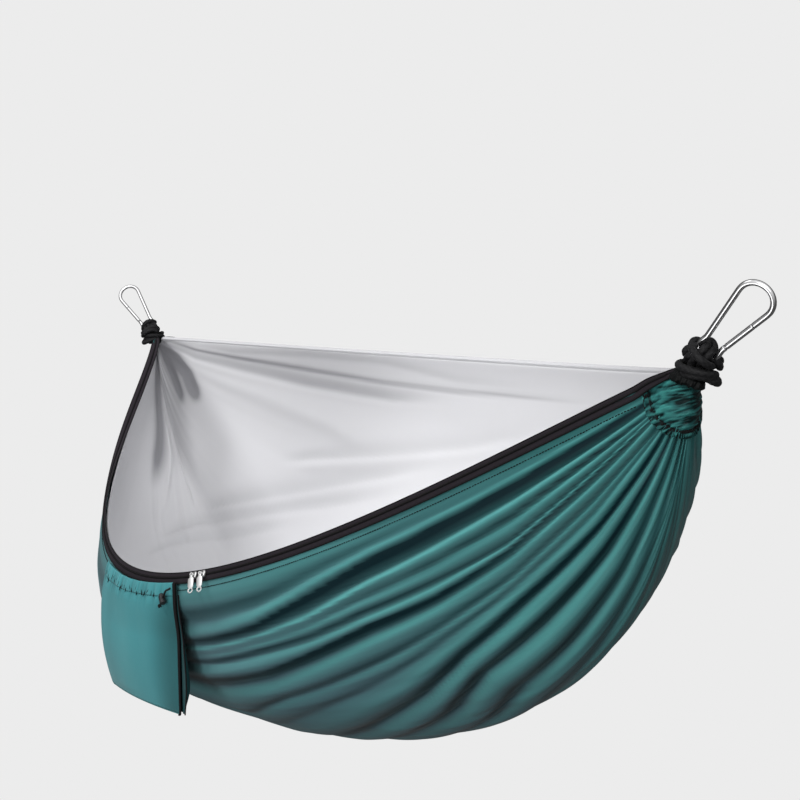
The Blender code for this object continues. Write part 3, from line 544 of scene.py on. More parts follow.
def strip_mesh(name, line, across, out, half_wide, thick, uv_scale=None, bulge=0.0):
    """A flat tape with rounded edges: its section is a flattened ring around the line."""
    angle = np.linspace(0, 2 * np.pi, 12, endpoint=False)
    c = np.sign(np.cos(angle)) * np.abs(np.cos(angle)) ** 0.35
    s = np.sign(np.sin(angle)) * np.abs(np.sin(angle)) ** 0.6
    points = line[:, None, :] + across[:, None, :] * (c * half_wide)[None, :, None] \
        + out[:, None, :] * (s * thick * 0.5 + bulge * (1 - c * c))[None, :, None]
    sides = len(angle)
    verts = points.reshape(-1, 3)
    faces = grid_faces(len(line), sides, wrap_cols=True)
    count = len(verts)
    verts = np.vstack([verts, line[0], line[-1]])
    k = np.arange(sides)
    fan0 = np.stack([np.full(sides, count), (k + 1) % sides, k], -1)
    base = (len(line) - 1) * sides
    fan1 = np.stack([np.full(sides, count + 1), base + k, base + (k + 1) % sides], -1)
    return tri_quad_object(name, verts, faces, np.vstack([fan0, fan1]))


def stitches(name, line, normal, pitch, length, radius, sink=0.25):
    """Separate short thread stitches laid along a line, one mesh."""
    run = np.concatenate([[0], np.cumsum(np.linalg.norm(np.diff(line, axis=0), axis=1))])
    starts = np.arange(pitch * 0.5, run[-1] - length, pitch)
    at = lambda s, arr: np.stack([np.interp(s, run, arr[:, k]) for k in range(3)], -1)
    shape_t = np.array([0.0, 0.12, 0.35, 0.65, 0.88, 1.0])
    fat = np.array([0.05, 0.75, 1.0, 1.0, 0.75, 0.05])
    lift = np.array([-1.2, -0.2, 0.35, 0.35, -0.2, -1.2])
    sides = 6
    angle = np.linspace(0, 2 * np.pi, sides, endpoint=False)
    verts, faces = [], []
    base_faces = grid_faces(len(shape_t), sides, wrap_cols=True)
    total = 0
    for s in starts:
        centre = at(s + shape_t * length, line)
        up = unit(at(s + shape_t * length, normal))
        t = unit(centre[-1] - centre[0])
        side = unit(np.cross(up, t))
        centre = centre + up * ((lift * 0.5 - sink) * radius)[:, None]
        ring = side[:, None, :] * np.cos(angle)[None, :, None] + up[:, None, :] * np.sin(angle)[None, :, None]
        points = centre[:, None, :] + ring * (fat * radius)[:, None, None]
        verts.append(points.reshape(-1, 3))
        faces.append(base_faces + total)
        total += len(shape_t) * sides
    return mesh_object(name, np.vstack(verts), np.vstack(faces))


# ---------------------------------------------------------------- materials
def new_material(name):
    made = bpy.data.materials.new(name)
    made.use_nodes = True
    tree = made.node_tree
    return made, tree, tree.nodes["Principled BSDF"]


def ramp(tree, source, stops):
    made = tree.nodes.new("ShaderNodeValToRGB")
    while len(made.color_ramp.elements) < len(stops):
        made.color_ramp.elements.new(0.5)
    for element, (place, color) in zip(made.color_ramp.elements, stops):
        element.position = place
        element.color = (*color, 1.0)
    tree.links.new(source, made.inputs["Fac"])
    return made


def mix(tree, a, b, factor, how="MIX"):
    made = tree.nodes.new("ShaderNodeMix")
    made.data_type = "RGBA"
    made.blend_type = how
    for value, index in ((a, 6), (b, 7)):
        if isinstance(value, tuple):
            made.inputs[index].default_value = (*value, 1.0)
        else:
            tree.links.new(value, made.inputs[index])
    if isinstance(factor, float):
        made.inputs[0].default_value = factor
    else:
        tree.links.new(factor, made.inputs[0])
    return made.outputs[2]


def math_node(tree, how, a, b=None):
    made = tree.nodes.new("ShaderNodeMath")
    made.operation = how
    for index, value in enumerate((a, b)):
        if value is None:
            continue
        if isinstance(value, (int, float)):
            made.inputs[index].default_value = value
        else:
            tree.links.new(value, made.inputs[index])
    return made.outputs[0]


def noise(tree, vector, scale, detail=2.0, rough=0.5):
    made = tree.nodes.new("ShaderNodeTexNoise")
    made.inputs["Scale"].default_value = scale
    made.inputs["Detail"].default_value = detail
    made.inputs["Roughness"].default_value = rough
    tree.links.new(vector, made.inputs["Vector"])
    return made.outputs["Fac"]


def object_coords(tree):
    return tree.nodes.new("ShaderNodeTexCoord").outputs["Object"]


def cloth_uv(tree):
    made = tree.nodes.new("ShaderNodeUVMap")
    made.uv_map = "Cloth"
    return made.outputs["UV"]


def wave(tree, vector, scale, axis, profile="SIN"):
    made = tree.nodes.new("ShaderNodeTexWave")
    made.wave_type = "BANDS"
    made.bands_direction = axis
    made.wave_profile = profile
    made.inputs["Scale"].default_value = scale
    tree.links.new(vector, made.inputs["Vector"])
    return made.outputs["Fac"]


def bump(tree, shader, height, strength, distance):
    made = tree.nodes.new("ShaderNodeBump")
    made.inputs["Strength"].default_value = strength
    made.inputs["Distance"].default_value = distance
    tree.links.new(height, made.inputs["Height"])
    tree.links.new(made.outputs["Normal"], shader.inputs["Normal"])
    return made


def nylon(name, deep, body, light, grey, weave_mm=0.9, sheen=0.10, rough=0.36, underside_reflection=0.75, spec=0.5):
    """Satin woven nylon. The fold attribute paints highlight onto its ridges and shade into its creases, and a painted
    reflection of the pale floor greys it towards the bed's underside, over a random grey mottling.
    """
    made, tree, shader = new_material(name)
    where = object_coords(tree)
    broad = noise(tree, where, 3.2, 2.0)
    split = tree.nodes.new("ShaderNodeSeparateXYZ")
    tree.links.new(where, split.inputs[0])
    # painted reflection of the pale floor: the colour greys from z -0.34 down to -0.66, and again from -0.10 down to
    # -0.45
    floor_reflection = tree.nodes.new("ShaderNodeMapRange")
    floor_reflection.interpolation_type = "SMOOTHSTEP"
    floor_reflection.inputs["From Min"].default_value = -0.34
    floor_reflection.inputs["From Max"].default_value = -0.66
    floor_reflection.inputs["To Max"].default_value = underside_reflection
    tree.links.new(split.outputs["Z"], floor_reflection.inputs["Value"])
    below = tree.nodes.new("ShaderNodeMapRange")
    below.interpolation_type = "SMOOTHSTEP"
    below.inputs["From Min"].default_value = -0.10
    below.inputs["From Max"].default_value = -0.45
    below.inputs["To Max"].default_value = underside_reflection * 0.60
    tree.links.new(split.outputs["Z"], below.inputs["Value"])
    # grey share: random mottling from the broad noise, plus the painted floor reflection
    mottle_and_reflection = math_node(tree, "ADD", math_node(tree, "MULTIPLY", broad, 0.30), math_node(tree, "ADD", floor_reflection.outputs["Result"], below.outputs["Result"]))
    mottle_and_reflection.node.use_clamp = True
    colour = mix(tree, body, grey, mottle_and_reflection)
    fold = tree.nodes.new("ShaderNodeAttribute")
    fold.attribute_name = "fold"
    value = fold.outputs["Fac"]
    # painted shade: a fold value below 0.5 darkens towards the crease colour; painted highlight: above 0.5 it pales
    # towards the ridge colour, less where the floor reflection is painted
    low = math_node(tree, "MULTIPLY", math_node(tree, "SUBTRACT", 0.5, value), 2.3)
    low.node.use_clamp = True
    high = math_node(tree, "MULTIPLY", math_node(tree, "SUBTRACT", value, 0.5), 1.6)
    high.node.use_clamp = True
    colour = mix(tree, colour, deep, low)
    colour = mix(tree, colour, light, math_node(tree, "MULTIPLY", high, math_node(tree, "SUBTRACT", 0.85, math_node(tree, "MULTIPLY", floor_reflection.outputs["Result"], 0.9))))
    uv = cloth_uv(tree)
    warp = wave(tree, uv, 1000.0 / weave_mm / 6.2832 * 2.0, "X")
    weft = wave(tree, uv, 1000.0 / weave_mm / 6.2832 * 2.0, "Y")
    weave = math_node(tree, "MULTIPLY", warp, weft)
    slub = noise(tree, uv, 420.0, 2.0)
    height = math_node(tree, "ADD", math_node(tree, "MULTIPLY", weave, 0.6), math_node(tree, "MULTIPLY", slub, 0.5))
    colour = mix(tree, colour, deep, math_node(tree, "MULTIPLY", weave, 0.10))
    tree.links.new(colour, shader.inputs["Base Color"])
    fine = noise(tree, where, 26.0, 3.0)
    shine = math_node(tree, "ADD", math_node(tree, "MULTIPLY", fine, 0.12), rough - 0.06)
    tree.links.new(shine, shader.inputs["Roughness"])
    shader.inputs["Sheen Weight"].default_value = sheen
    shader.inputs["Sheen Roughness"].default_value = 0.35
    shader.inputs["Specular IOR Level"].default_value = spec
    bump(tree, shader, height, 0.25, 0.0002)
    return made


def net_material(name):
    made, tree, shader = new_material(name)
    where = object_coords(tree)
    uv = cloth_uv(tree)
    broad = noise(tree, where, 4.0, 2.0)
    colour = mix(tree, (0.555, 0.555, 0.573), (0.515, 0.515, 0.532), math_node(tree, "MULTIPLY", broad, 0.5))
    fold = tree.nodes.new("ShaderNodeAttribute")
    fold.attribute_name = "fold"
    # the fold attribute mixes in a dark grey: painted shade in the net's creases and on one patch
    colour = mix(tree, (0.19, 0.19, 0.205), colour, fold.outputs["Fac"])
    cells = tree.nodes.new("ShaderNodeTexVoronoi")
    cells.inputs["Scale"].default_value = 640.0
    cells.inputs["Randomness"].default_value = 0.25
    tree.links.new(uv, cells.inputs["Vector"])
    hole = ramp(tree, cells.outputs["Distance"], [(0.0, (0.0, 0.0, 0.0)), (0.35, (0.25, 0.25, 0.25)), (0.62, (1.0, 1.0, 1.0))])
    colour = mix(tree, colour, (0.43, 0.43, 0.445), math_node(tree, "MULTIPLY", math_node(tree, "SUBTRACT", 1.0, hole.outputs["Color"]), 0.18))
    tree.links.new(colour, shader.inputs["Base Color"])
    shader.inputs["Roughness"].default_value = 0.75
    shader.inputs["Sheen Weight"].default_value = 0.10
    shader.inputs["Sheen Roughness"].default_value = 0.5
    bump(tree, shader, hole.outputs["Color"], 0.12, 0.0002)
    return made


def tape_material(name, base=(0.0125, 0.0100, 0.0130), scale=1400.0):
    made, tree, shader = new_material(name)
    where = object_coords(tree)
    grain = noise(tree, where, 260.0, 3.0)
    ribs = wave(tree, where, scale / 6.2832, "DIAGONAL")
    colour = mix(tree, base, tuple(min(1.0, c * 2.1) for c in base), math_node(tree, "MULTIPLY", grain, 0.6))
    tree.links.new(colour, shader.inputs["Base Color"])
    shader.inputs["Roughness"].default_value = 0.72
    shader.inputs["Specular IOR Level"].default_value = 0.14
    shader.inputs["Sheen Weight"].default_value = 0.02
    shader.inputs["Sheen Roughness"].default_value = 0.4
    bump(tree, shader, math_node(tree, "ADD", grain, math_node(tree, "MULTIPLY", ribs, 0.5)), 0.35, 0.0003)
    return made


def rope_material(name):
    made, tree, shader = new_material(name)
    where = object_coords(tree)
    braid = tree.nodes.new("ShaderNodeAttribute")
    braid.attribute_name = "braid"
    grain = noise(tree, where, 900.0, 3.0)
    # paler on the braid's raised strands and darker between them: painted highlight and painted shade
    colour = mix(tree, (0.0035, 0.0035, 0.004), (0.011, 0.011, 0.012), braid.outputs["Fac"])
    colour = mix(tree, colour, (0.026, 0.026, 0.029), math_node(tree, "MULTIPLY", grain, 0.25))
    tree.links.new(colour, shader.inputs["Base Color"])
    shader.inputs["Roughness"].default_value = 0.58
    shader.inputs["Specular IOR Level"].default_value = 0.22
    shader.inputs["Sheen Weight"].default_value = 0.02
    shader.inputs["Sheen Roughness"].default_value = 0.4
    bump(tree, shader, grain, 0.3, 0.0002)
    return made


def steel_material(name, base=(0.80, 0.80, 0.81), rough=0.13, metallic=1.0, grain=0.012, tone=0.88):
    made, tree, shader = new_material(name)
    where = object_coords(tree)
    cloud = noise(tree, where, 45.0, 4.0, 0.6)
    scratch = noise(tree, where, 700.0, 2.0, 0.5)
    colour = mix(tree, base, tuple(c * tone for c in base), math_node(tree, "MULTIPLY", cloud, 0.5))
    tree.links.new(colour, shader.inputs["Base Color"])
    tree.links.new(math_node(tree, "ADD", math_node(tree, "MULTIPLY", cloud, 0.10), rough - 0.04), shader.inputs["Roughness"])
    shader.inputs["Metallic"].default_value = metallic
    bump(tree, shader, math_node(tree, "ADD", scratch, cloud), grain, 0.0002)
    return made


def plastic_material(name, base=(0.014, 0.014, 0.016)):
    made, tree, shader = new_material(name)
    where = object_coords(tree)
    grain = noise(tree, where, 1500.0, 2.0)
    colour = mix(tree, base, tuple(c * 1.8 for c in base), math_node(tree, "MULTIPLY", grain, 0.5))
    tree.links.new(colour, shader.inputs["Base Color"])
    tree.links.new(math_node(tree, "ADD", math_node(tree, "MULTIPLY", grain, 0.15), 0.32), shader.inputs["Roughness"])
    bump(tree, shader, grain, 0.2, 0.0001)
    return made


# Each nylon is given a crease colour for painted shade, its own colour, a ridge colour for painted highlight and a grey
# for the painted floor reflection and random mottling.
BED_NYLON = nylon("bed_nylon", (0.0030, 0.0165, 0.0220), (0.024, 0.140, 0.134), (0.125, 0.465, 0.450), (0.064, 0.126, 0.148), underside_reflection=0.75, sheen=0.05, spec=0.10)
CHANNEL_NYLON = nylon("channel_nylon", (0.001, 0.0105, 0.0110), (0.016, 0.115, 0.110), (0.055, 0.300, 0.275), (0.030, 0.098, 0.108), rough=0.46, underside_reflection=0.3, sheen=0.04, spec=0.14)
SACK_NYLON = nylon("sack_nylon", (0.006, 0.048, 0.052), (0.046, 0.245, 0.268), (0.088, 0.350, 0.370), (0.060, 0.240, 0.275), underside_reflection=0.1, rough=0.42, spec=0.34)
SEAM_NYLON = nylon("sack_seam_nylon", (0.006, 0.048, 0.052), (0.038, 0.190, 0.200), (0.080, 0.300, 0.310), (0.046, 0.180, 0.200), underside_reflection=0.1, rough=0.42, spec=0.34)
# a darker copy of the sack's nylon: painted shade on its back panel
SACK_BACK_SHADED = nylon("sack_back_shaded_nylon", (0.003, 0.018, 0.020), (0.016, 0.095, 0.100), (0.030, 0.150, 0.155), (0.016, 0.080, 0.090), underside_reflection=0.1, rough=0.45, sheen=0.04, spec=0.25)
COLLAR = nylon("collar_cloth", (0.001, 0.0015, 0.0015), (0.004, 0.0048, 0.0052), (0.010, 0.012, 0.013), (0.004, 0.0048, 0.0052), underside_reflection=0.0, rough=0.55, sheen=0.02, spec=0.15)
NET = net_material("insect_net")
TAPE = tape_material("black_tape")
TAPE_DARK = tape_material("black_edge", (0.0055, 0.005, 0.0055))
ROPE = rope_material("black_rope")
STEEL = steel_material("polished_steel")
BRIGHT = steel_material("slider_metal", (0.84, 0.84, 0.84), 0.34, 0.94, 0.05, 0.80)
PLASTIC = plastic_material("black_plastic")


def paint(obj, made):
    obj.data.materials.clear()
    obj.data.materials.append(made)
    return obj


def dress(obj, made, body, slot, *nodes):
    """Material, body, record slot, which is not used, and the CAD nodes that it stands for."""
    paint(obj, made)
    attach(obj, body)
    if nodes:
        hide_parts(*nodes)
    return obj


# ---------------------------------------------------------------- bed cloth
BED_S = 236


def bed_rows():
    near = np.linspace(0.0, 1.0, 151) ** 1.08 * 1.15
    return np.concatenate([near, np.linspace(1.15, 2.0, 55)[1:]])


def make_bed():
    s = np.linspace(0.0, 1.0, BED_S + 1)
    tau = bed_rows()
    s2, tau2 = np.meshgrid(s, tau, indexing="ij")
    left, right = station_at(tau, SEAM_RADIUS - 0.004, "left"), station_at(tau, SEAM_RADIUS - 0.004, "right")
    a, b = np.arcsin(left)[None, :], np.arcsin(right)[None, :]
    u = np.sin(a + (b - a) * s2)
    high = bed_height(u, tau2)
    points = bed(u, tau2) + bed_normal(u, tau2) * (high - 0.0010)[..., None]
    uv = np.stack([s2 * 2.6, tau2 * 0.62], -1)
    streak = wander(u * 3.0 + 4.0, tau2 * 60.0, 24)
    # fold attribute: painted shade and painted highlight from the shading tables, paler on raised wrinkles and end
    # pleats and darker in their hollows, with random streaks
    fold = np.clip(0.5 + 0.60 * painted_fold_shading(u, tau2) + 22.0 * small_wrinkles(u, tau2) + 0.07 * streak + 16.0 * end_pleats(u, tau2), 0.0, 1.0)
    obj = grid_object("bed_cloth", points, uv, {"fold": fold})
    thicken(obj, 0.0008)
    return dress(obj, BED_NYLON, "hammock", "bed_nylon", "bed_panel")


bed_cloth = make_bed()


def make_far_hem():
    s = np.linspace(0.0, 1.0, BED_S + 1)
    rows = np.linspace(1.988, 1.945, 7)
    s2, tau2 = np.meshgrid(s, rows, indexing="ij")
    left, right = station_at(rows, SEAM_RADIUS, "left"), station_at(rows, SEAM_RADIUS, "right")
    a, b = np.arcsin(left)[None, :], np.arcsin(right)[None, :]
    u = np.sin(a + (b - a) * s2)
    puff = 0.0012 * np.sin(np.pi * np.linspace(0.0, 1.0, 7))[None, :] ** 0.5
    points = bed(u, tau2) + bed_normal(u, tau2) * (bed_height(u, tau2) - 0.0010 + 0.0009 + puff)[..., None]
    uv = np.stack([s2 * 2.6, tau2 * 0.62], -1)
    obj = grid_object("far_hem_cloth", points, uv, {"fold": np.full(u.shape, 0.55)})
    thicken(obj, 0.0008)
    dress(obj, BED_NYLON, "hammock", "bed_nylon", "far_hem")
    return obj


far_hem = make_far_hem()


# ---------------------------------------------------------------- insect net
# Creases of the slack net, as lines on a plane seen along one fixed direction. Each has a height in millimetres
# (hollows are negative), its widths above and below the line, and how much painted shade darkens the net there.
EYE = np.array([3.00659, -1.04230, 0.06815])
EYE_LOOK = np.array([-0.933604, 0.355333, -0.046068])
EYE_RIGHT = np.array([0.355710, 0.934596, 0.0])
EYE_UP = np.array([-0.043055, 0.016387, 0.998938])
NET_CREASES = [
    (-3.2, 2.6, 2.2, 0.30, [(160, 336.5), (177, 341), (200, 347.5), (240, 355), (315, 367.5), (390, 380), (465, 389), (620, 401)]),
    (-5.5, 10.0, 4.0, 0.22, [(160, 338), (180, 346), (202, 355), (270, 371), (315, 382), (365, 391), (402, 397), (465, 400)]),
    (-2.2, 5.0, 3.0, 0.10, [(200, 343), (240, 350), (315, 353), (390, 360), (465, 378), (560, 388)]),
    (9.0, 26.0, 13.0, -0.02, [(160, 339), (185, 355), (210, 367), (265, 390), (340, 422), (382, 450), (400, 462)]),
    (-4.0, 12.0, 4.0, 0.06, [(290, 467), (320, 462), (392, 458), (480, 449), (560, 430)]),
    (3.0, 4.5, 9.0, 0.0, [(300, 473), (340, 469), (400, 464), (480, 455), (540, 442)]),
    (-4.5, 14.0, 4.0, 0.08, [(200, 520), (275, 505), (340, 492), (402, 480), (460, 466)]),
    (3.5, 5.0, 10.0, 0.0, [(200, 526), (275, 511), (340, 498), (400, 486), (450, 474)]),
    (-4.5, 12.0, 4.0, 0.08, [(150, 548), (190, 537), (270, 524), (357, 509), (415, 496)]),
    (3.0, 5.0, 8.0, 0.0, [(150, 554), (190, 543), (270, 529), (350, 514)]),
    (-3.5, 9.0, 3.5, 0.06, [(135, 564), (165, 556), (252, 545), (310, 531)]),
    (-12.0, 6.0, 6.0, 0.80, [(160, 336), (168, 346), (180, 357), (193, 374), (202, 396), (206, 410)]),
    (-6.0, 4.0, 4.0, 0.50, [(160, 338), (167, 352), (177, 374), (186, 396), (190, 412)]),
    (5.0, 4.0, 4.0, -0.05, [(161, 340), (169, 352), (183, 374), (194, 396), (200, 410)]),
    (7.0, 3.6, 3.6, -0.08, [(160.5, 343), (160.5, 400), (160.5, 467), (157, 500), (153, 535)]),
    (-10.0, 7.0, 6.0, 0.50, [(159, 340), (156, 360), (153.5, 425), (149, 470), (144, 500)]),
    (-5.0, 14.0, 14.0, 0.14, [(162, 345), (174, 380), (180, 430), (178, 490)]),
    (4.0, 9.0, 9.0, 0.0, [(162, 345), (188, 400), (203, 450), (205, 500)]),
    (-3.0, 12.0, 12.0, 0.06, [(164, 345), (208, 400), (230, 450), (235, 500)]),
]


def crease_field(points):
    """Height in metres and painted shade of the net's creases at points in the knots' frame."""
    d = points - EYE
    deep = d @ EYE_LOOK
    x = 400.0 + 2107.85 * (d @ EYE_RIGHT) / deep
    y = 400.0 - 2107.85 * (d @ EYE_UP) / deep
    high, dark = np.zeros(x.shape), np.zeros(x.shape)
    for tall, above, below, shade, line in NET_CREASES:
        line = np.array(line, float)
        spans = np.linalg.norm(np.diff(line, axis=0), axis=1)
        total = spans.sum()
        best = np.full(x.shape, 1e9)
        side, place = np.zeros(x.shape), np.zeros(x.shape)
        run = 0.0
        for k in range(len(line) - 1):
            a, b = line[k], line[k + 1]
            v = (b - a) / spans[k]
            along = np.clip((x - a[0]) * v[0] + (y - a[1]) * v[1], 0.0, spans[k])
            off = np.hypot(x - a[0] - along * v[0], y - a[1] - along * v[1])
            closer = off < best
            best = np.where(closer, off, best)
            side = np.where(closer, (y - a[1]) * v[0] - (x - a[0]) * v[1], side)
            place = np.where(closer, (run + along) / total, place)
            run += spans[k]
        width = np.where(side > 0, below, above) * (0.45 + 0.55 * smooth(0.0, 0.35, place))
        fade = smooth(-0.02, 0.10, place) * (1.0 - smooth(0.72, 1.0, place))
        hill = np.exp(-(best / width) ** 2) * fade
        high += tall * 1e-3 * hill
        dark += shade * hill
    return high, dark


def net_room(u, tau):
    edge = np.sin(np.pi * 0.5 * tau)
    room = smooth(0.0, 0.35, 1.0 - np.abs(u) ** 3)
    return 0.0056 + (NET_CLEAR - 0.0056) * edge * room


def make_net():
    s = np.linspace(0.0, 1.0, 233)
    tau = np.concatenate([np.linspace(0.0, 0.5, 26)[:-1], np.linspace(0.5, 2.0, 180)])
    s2, tau2 = np.meshgrid(s, tau, indexing="ij")
    left, right = station_at(tau, 0.019, "left"), station_at(tau, 0.060, "right")
    a, b = np.arcsin(left)[None, :], np.arcsin(right)[None, :]
    u = np.sin(a + (b - a) * s2)
    base, out = bed(u, tau2), bed_normal(u, tau2)
    crease, dark = crease_field(base)
    edge = np.sin(np.pi * 0.5 * tau2) ** 0.5
    inner = smooth(0.25, 0.6, tau2)
    ends = smooth(0.02, 0.20, 1.0 - np.abs(u))
    slack = 0.0050 * (0.5 + 0.5 * wander(u * 2.2 + 7.0, tau2 * 7.0, 51)) * edge * ends
    slack = slack + 0.0010 * (0.5 + 0.5 * wander(u * 6.0, tau2 * 26.0 + 3.0, 52)) * edge
    lift = (0.0130 * inner * edge * smooth(0.0, 0.12, 1.0 - np.abs(u)) + crease * inner * edge * (0.35 + 0.65 * ends))
    inward = net_room(u, tau2) + slack + np.maximum(lift, -0.0006)
    own = smooth(1.10, 1.35, tau2)
    depth = np.minimum(0.0, folds(u, tau2)) * (1 - own) - 0.0046 * own * smooth(0.0, 0.15, 2.0 - tau2) - inward
    points = base + out * depth[..., None]
    # painted shade: darker along the creases, more towards the left knot, and a painted shaded patch around u = -0.58
    shade = np.clip(1.0 - np.maximum(dark, 0.0) * inner * (2.1 + 0.5 * smooth(0.45, 0.85, -u)) - 0.27 * np.exp(-((u + 0.58) / 0.20) ** 2), 0.0, 1.0)
    uv = np.stack([s2 * 2.6, tau2 * 0.62], -1)
    obj = grid_object("net_cloth", points, uv, {"fold": shade}, flip=True)
    thicken(obj, 0.0005)
    dress(obj, NET, "hammock", "net", "insect_net")

    # the net's own binding, folded over the far edge
    s = np.linspace(0.0, 1.0, BED_S + 1)
    angle = np.linspace(0.0, np.pi, 9)
    left, right = float(station_at(np.array(2.0), 0.022, "left")), float(station_at(np.array(2.0), 0.022, "right"))
    u = np.sin(math.asin(left) + (math.asin(right) - math.asin(left)) * s)
    rim, normal = bed(u, np.full(u.shape, 2.0)), bed_normal(u, np.full(u.shape, 1.99))
    along = unit(np.gradient(rim, axis=0))
    up = unit(np.cross(normal, along))
    up = np.where((up[:, 2] < 0)[:, None], -up, up)
    rows = []
    for drop in (0.0090, 0.0060, 0.0030):
        rows.append(rim - up * drop - normal * 0.0062)
    for k in angle:
        rows.append(rim + up * (0.0006 + 0.0011 * math.sin(k)) - normal * (0.0062 * (1 + math.cos(k)) / 2 - 0.0016 * (1 - math.cos(k)) / 2))
    for drop in (0.0025, 0.0050):
        rows.append(rim - up * drop + normal * 0.0018)
    points = np.stack(rows, 1)
    uv = np.stack(np.broadcast_arrays(s[:, None] * 2.6, np.arange(points.shape[1])[None, :] * 0.003), -1)
    obj2 = grid_object("net_far_binding", points, uv, {"fold": np.full(points.shape[:2], 0.62)})
    thicken(obj2, 0.0005, 0.0)
    dress(obj2, NET, "hammock", "net")
    return obj


net_cloth = make_net()


# ---------------------------------------------------------------- zip along the near edge
def rim_frame(u):
    u = np.asarray(u, float)
    along = unit(near_rim(np.minimum(0.99999, u + 1e-4)) - near_rim(np.maximum(-0.99999, u - 1e-4)))
    down = np.broadcast_to(np.array([0.0, -math.sin(NEAR_LEAN), -math.cos(NEAR_LEAN)]), along.shape)
    down = unit(down - along * (down * along).sum(-1, keepdims=True))
    # towards the left knot the folded edge lies over outwards
    over = unit(np.cross(along, LOOK))
    over = np.where((over * down).sum(-1, keepdims=True) < 0, -over, over)
    turned = (0.85 * smooth(0.30, 0.80, -u))[..., None]
    down = unit(down * (1 - turned) + over * turned)
    return near_rim(u), along, down, unit(np.cross(down, along))


def rim_run(reach=0.030, step=0.004):
    a = float(station_at(np.array(0.0), reach, "left"))
    b = float(station_at(np.array(0.0), reach, "right"))
    u = np.sin(np.linspace(math.asin(a), math.asin(b), 4001))
    p = near_rim(u)
    run = np.concatenate([[0], np.cumsum(np.linalg.norm(np.diff(p, axis=0), axis=1))])
    return np.interp(np.linspace(0, run[-1], int(run[-1] / step) + 1), run, u)


def rim_line(u, v, off):
    p, _, down, out = rim_frame(u)
    over = 0.0046 * (1.0 - smooth(0.052, 0.090, np.linalg.norm(p - KNOT["right"], axis=-1)))    # over the gathered channel
    return p + down * v + out * (off + over)[..., None], down, out


def taper(u):
    """The band narrows as it runs into the knots, and more so into the right one."""
    right = np.linalg.norm(near_rim(u) - KNOT["right"], axis=-1)
    left = np.linalg.norm(near_rim(u) - KNOT["left"], axis=-1)
    return (0.50 + 0.50 * smooth(0.012, 0.085, right)) * (0.70 + 0.30 * smooth(0.010, 0.050, left))


def rim_strip(name, v0, v1, off, thick, nodes, reach=0.016, paint_with=None):
    u = rim_run(reach)
    width = taper(u)[:, None]
    line, down, out = rim_line(u, 0.0, off)
    line = line + down * (0.5 * (v0 + v1) * width)
    obj = strip_mesh(name, line, down * width, out, 0.5 * (v1 - v0), thick)
    return dress(obj, paint_with or TAPE, "hammock", "black_tape", *nodes)


def make_zip():
    rim_strip("zip_tape_lower", 0.0014, 0.0074, 0.0010, 0.0013, ("zip_tape_bed",))
    rim_strip("zip_tape_upper", -0.0058, -0.0014, 0.0010, 0.0013, ("zip_tape_net",))
    rim_strip("zip_backing", -0.0058, 0.0086, 0.0003, 0.0010, (), paint_with=TAPE_DARK)
    fine = rim_run(step=0.0004)
    line, down, out = rim_line(fine, 0.0, 0.0018)
    run = np.arange(len(fine)) * 0.0004
    teeth = 0.0013 + 0.00030 * np.cos(2 * np.pi * run / 0.0016)
    coil = tube_mesh("zip_teeth", line, teeth, sides=8, caps="flat", values={"braid": 0.5 + 0.5 * np.cos(2 * np.pi * run / 0.0016)})
    dress(coil, TAPE_DARK, "hammock", "black_plastic", "zip_coil")
    u = rim_run(0.016)
    width = taper(u)[:, None]
    line, down, out = rim_line(u, 0.0, 0.0010)
    edge = tube_mesh("net_piping", line - down * 0.0065 * width, 0.0010, sides=10)
    dress(edge, TAPE_DARK, "hammock", "black_tape", "net_edge_piping")
    edge = tube_mesh("bed_edge_piping", line + down * 0.0084 * width, 0.0010, sides=8)
    dress(edge, TAPE_DARK, "hammock", "black_tape")
    inner = rim_run(0.075, 0.003)
    tau = np.minimum(0.0188 * taper(inner) / wall_length(inner), 0.08)
    line = cloth(inner, tau, 0.0005)
    obj = stitches("topstitch", line, bed_normal(inner, tau), 0.0046, 0.0037, 0.00068)
    dress(obj, TAPE_DARK, "hammock", "black_tape")


make_zip()


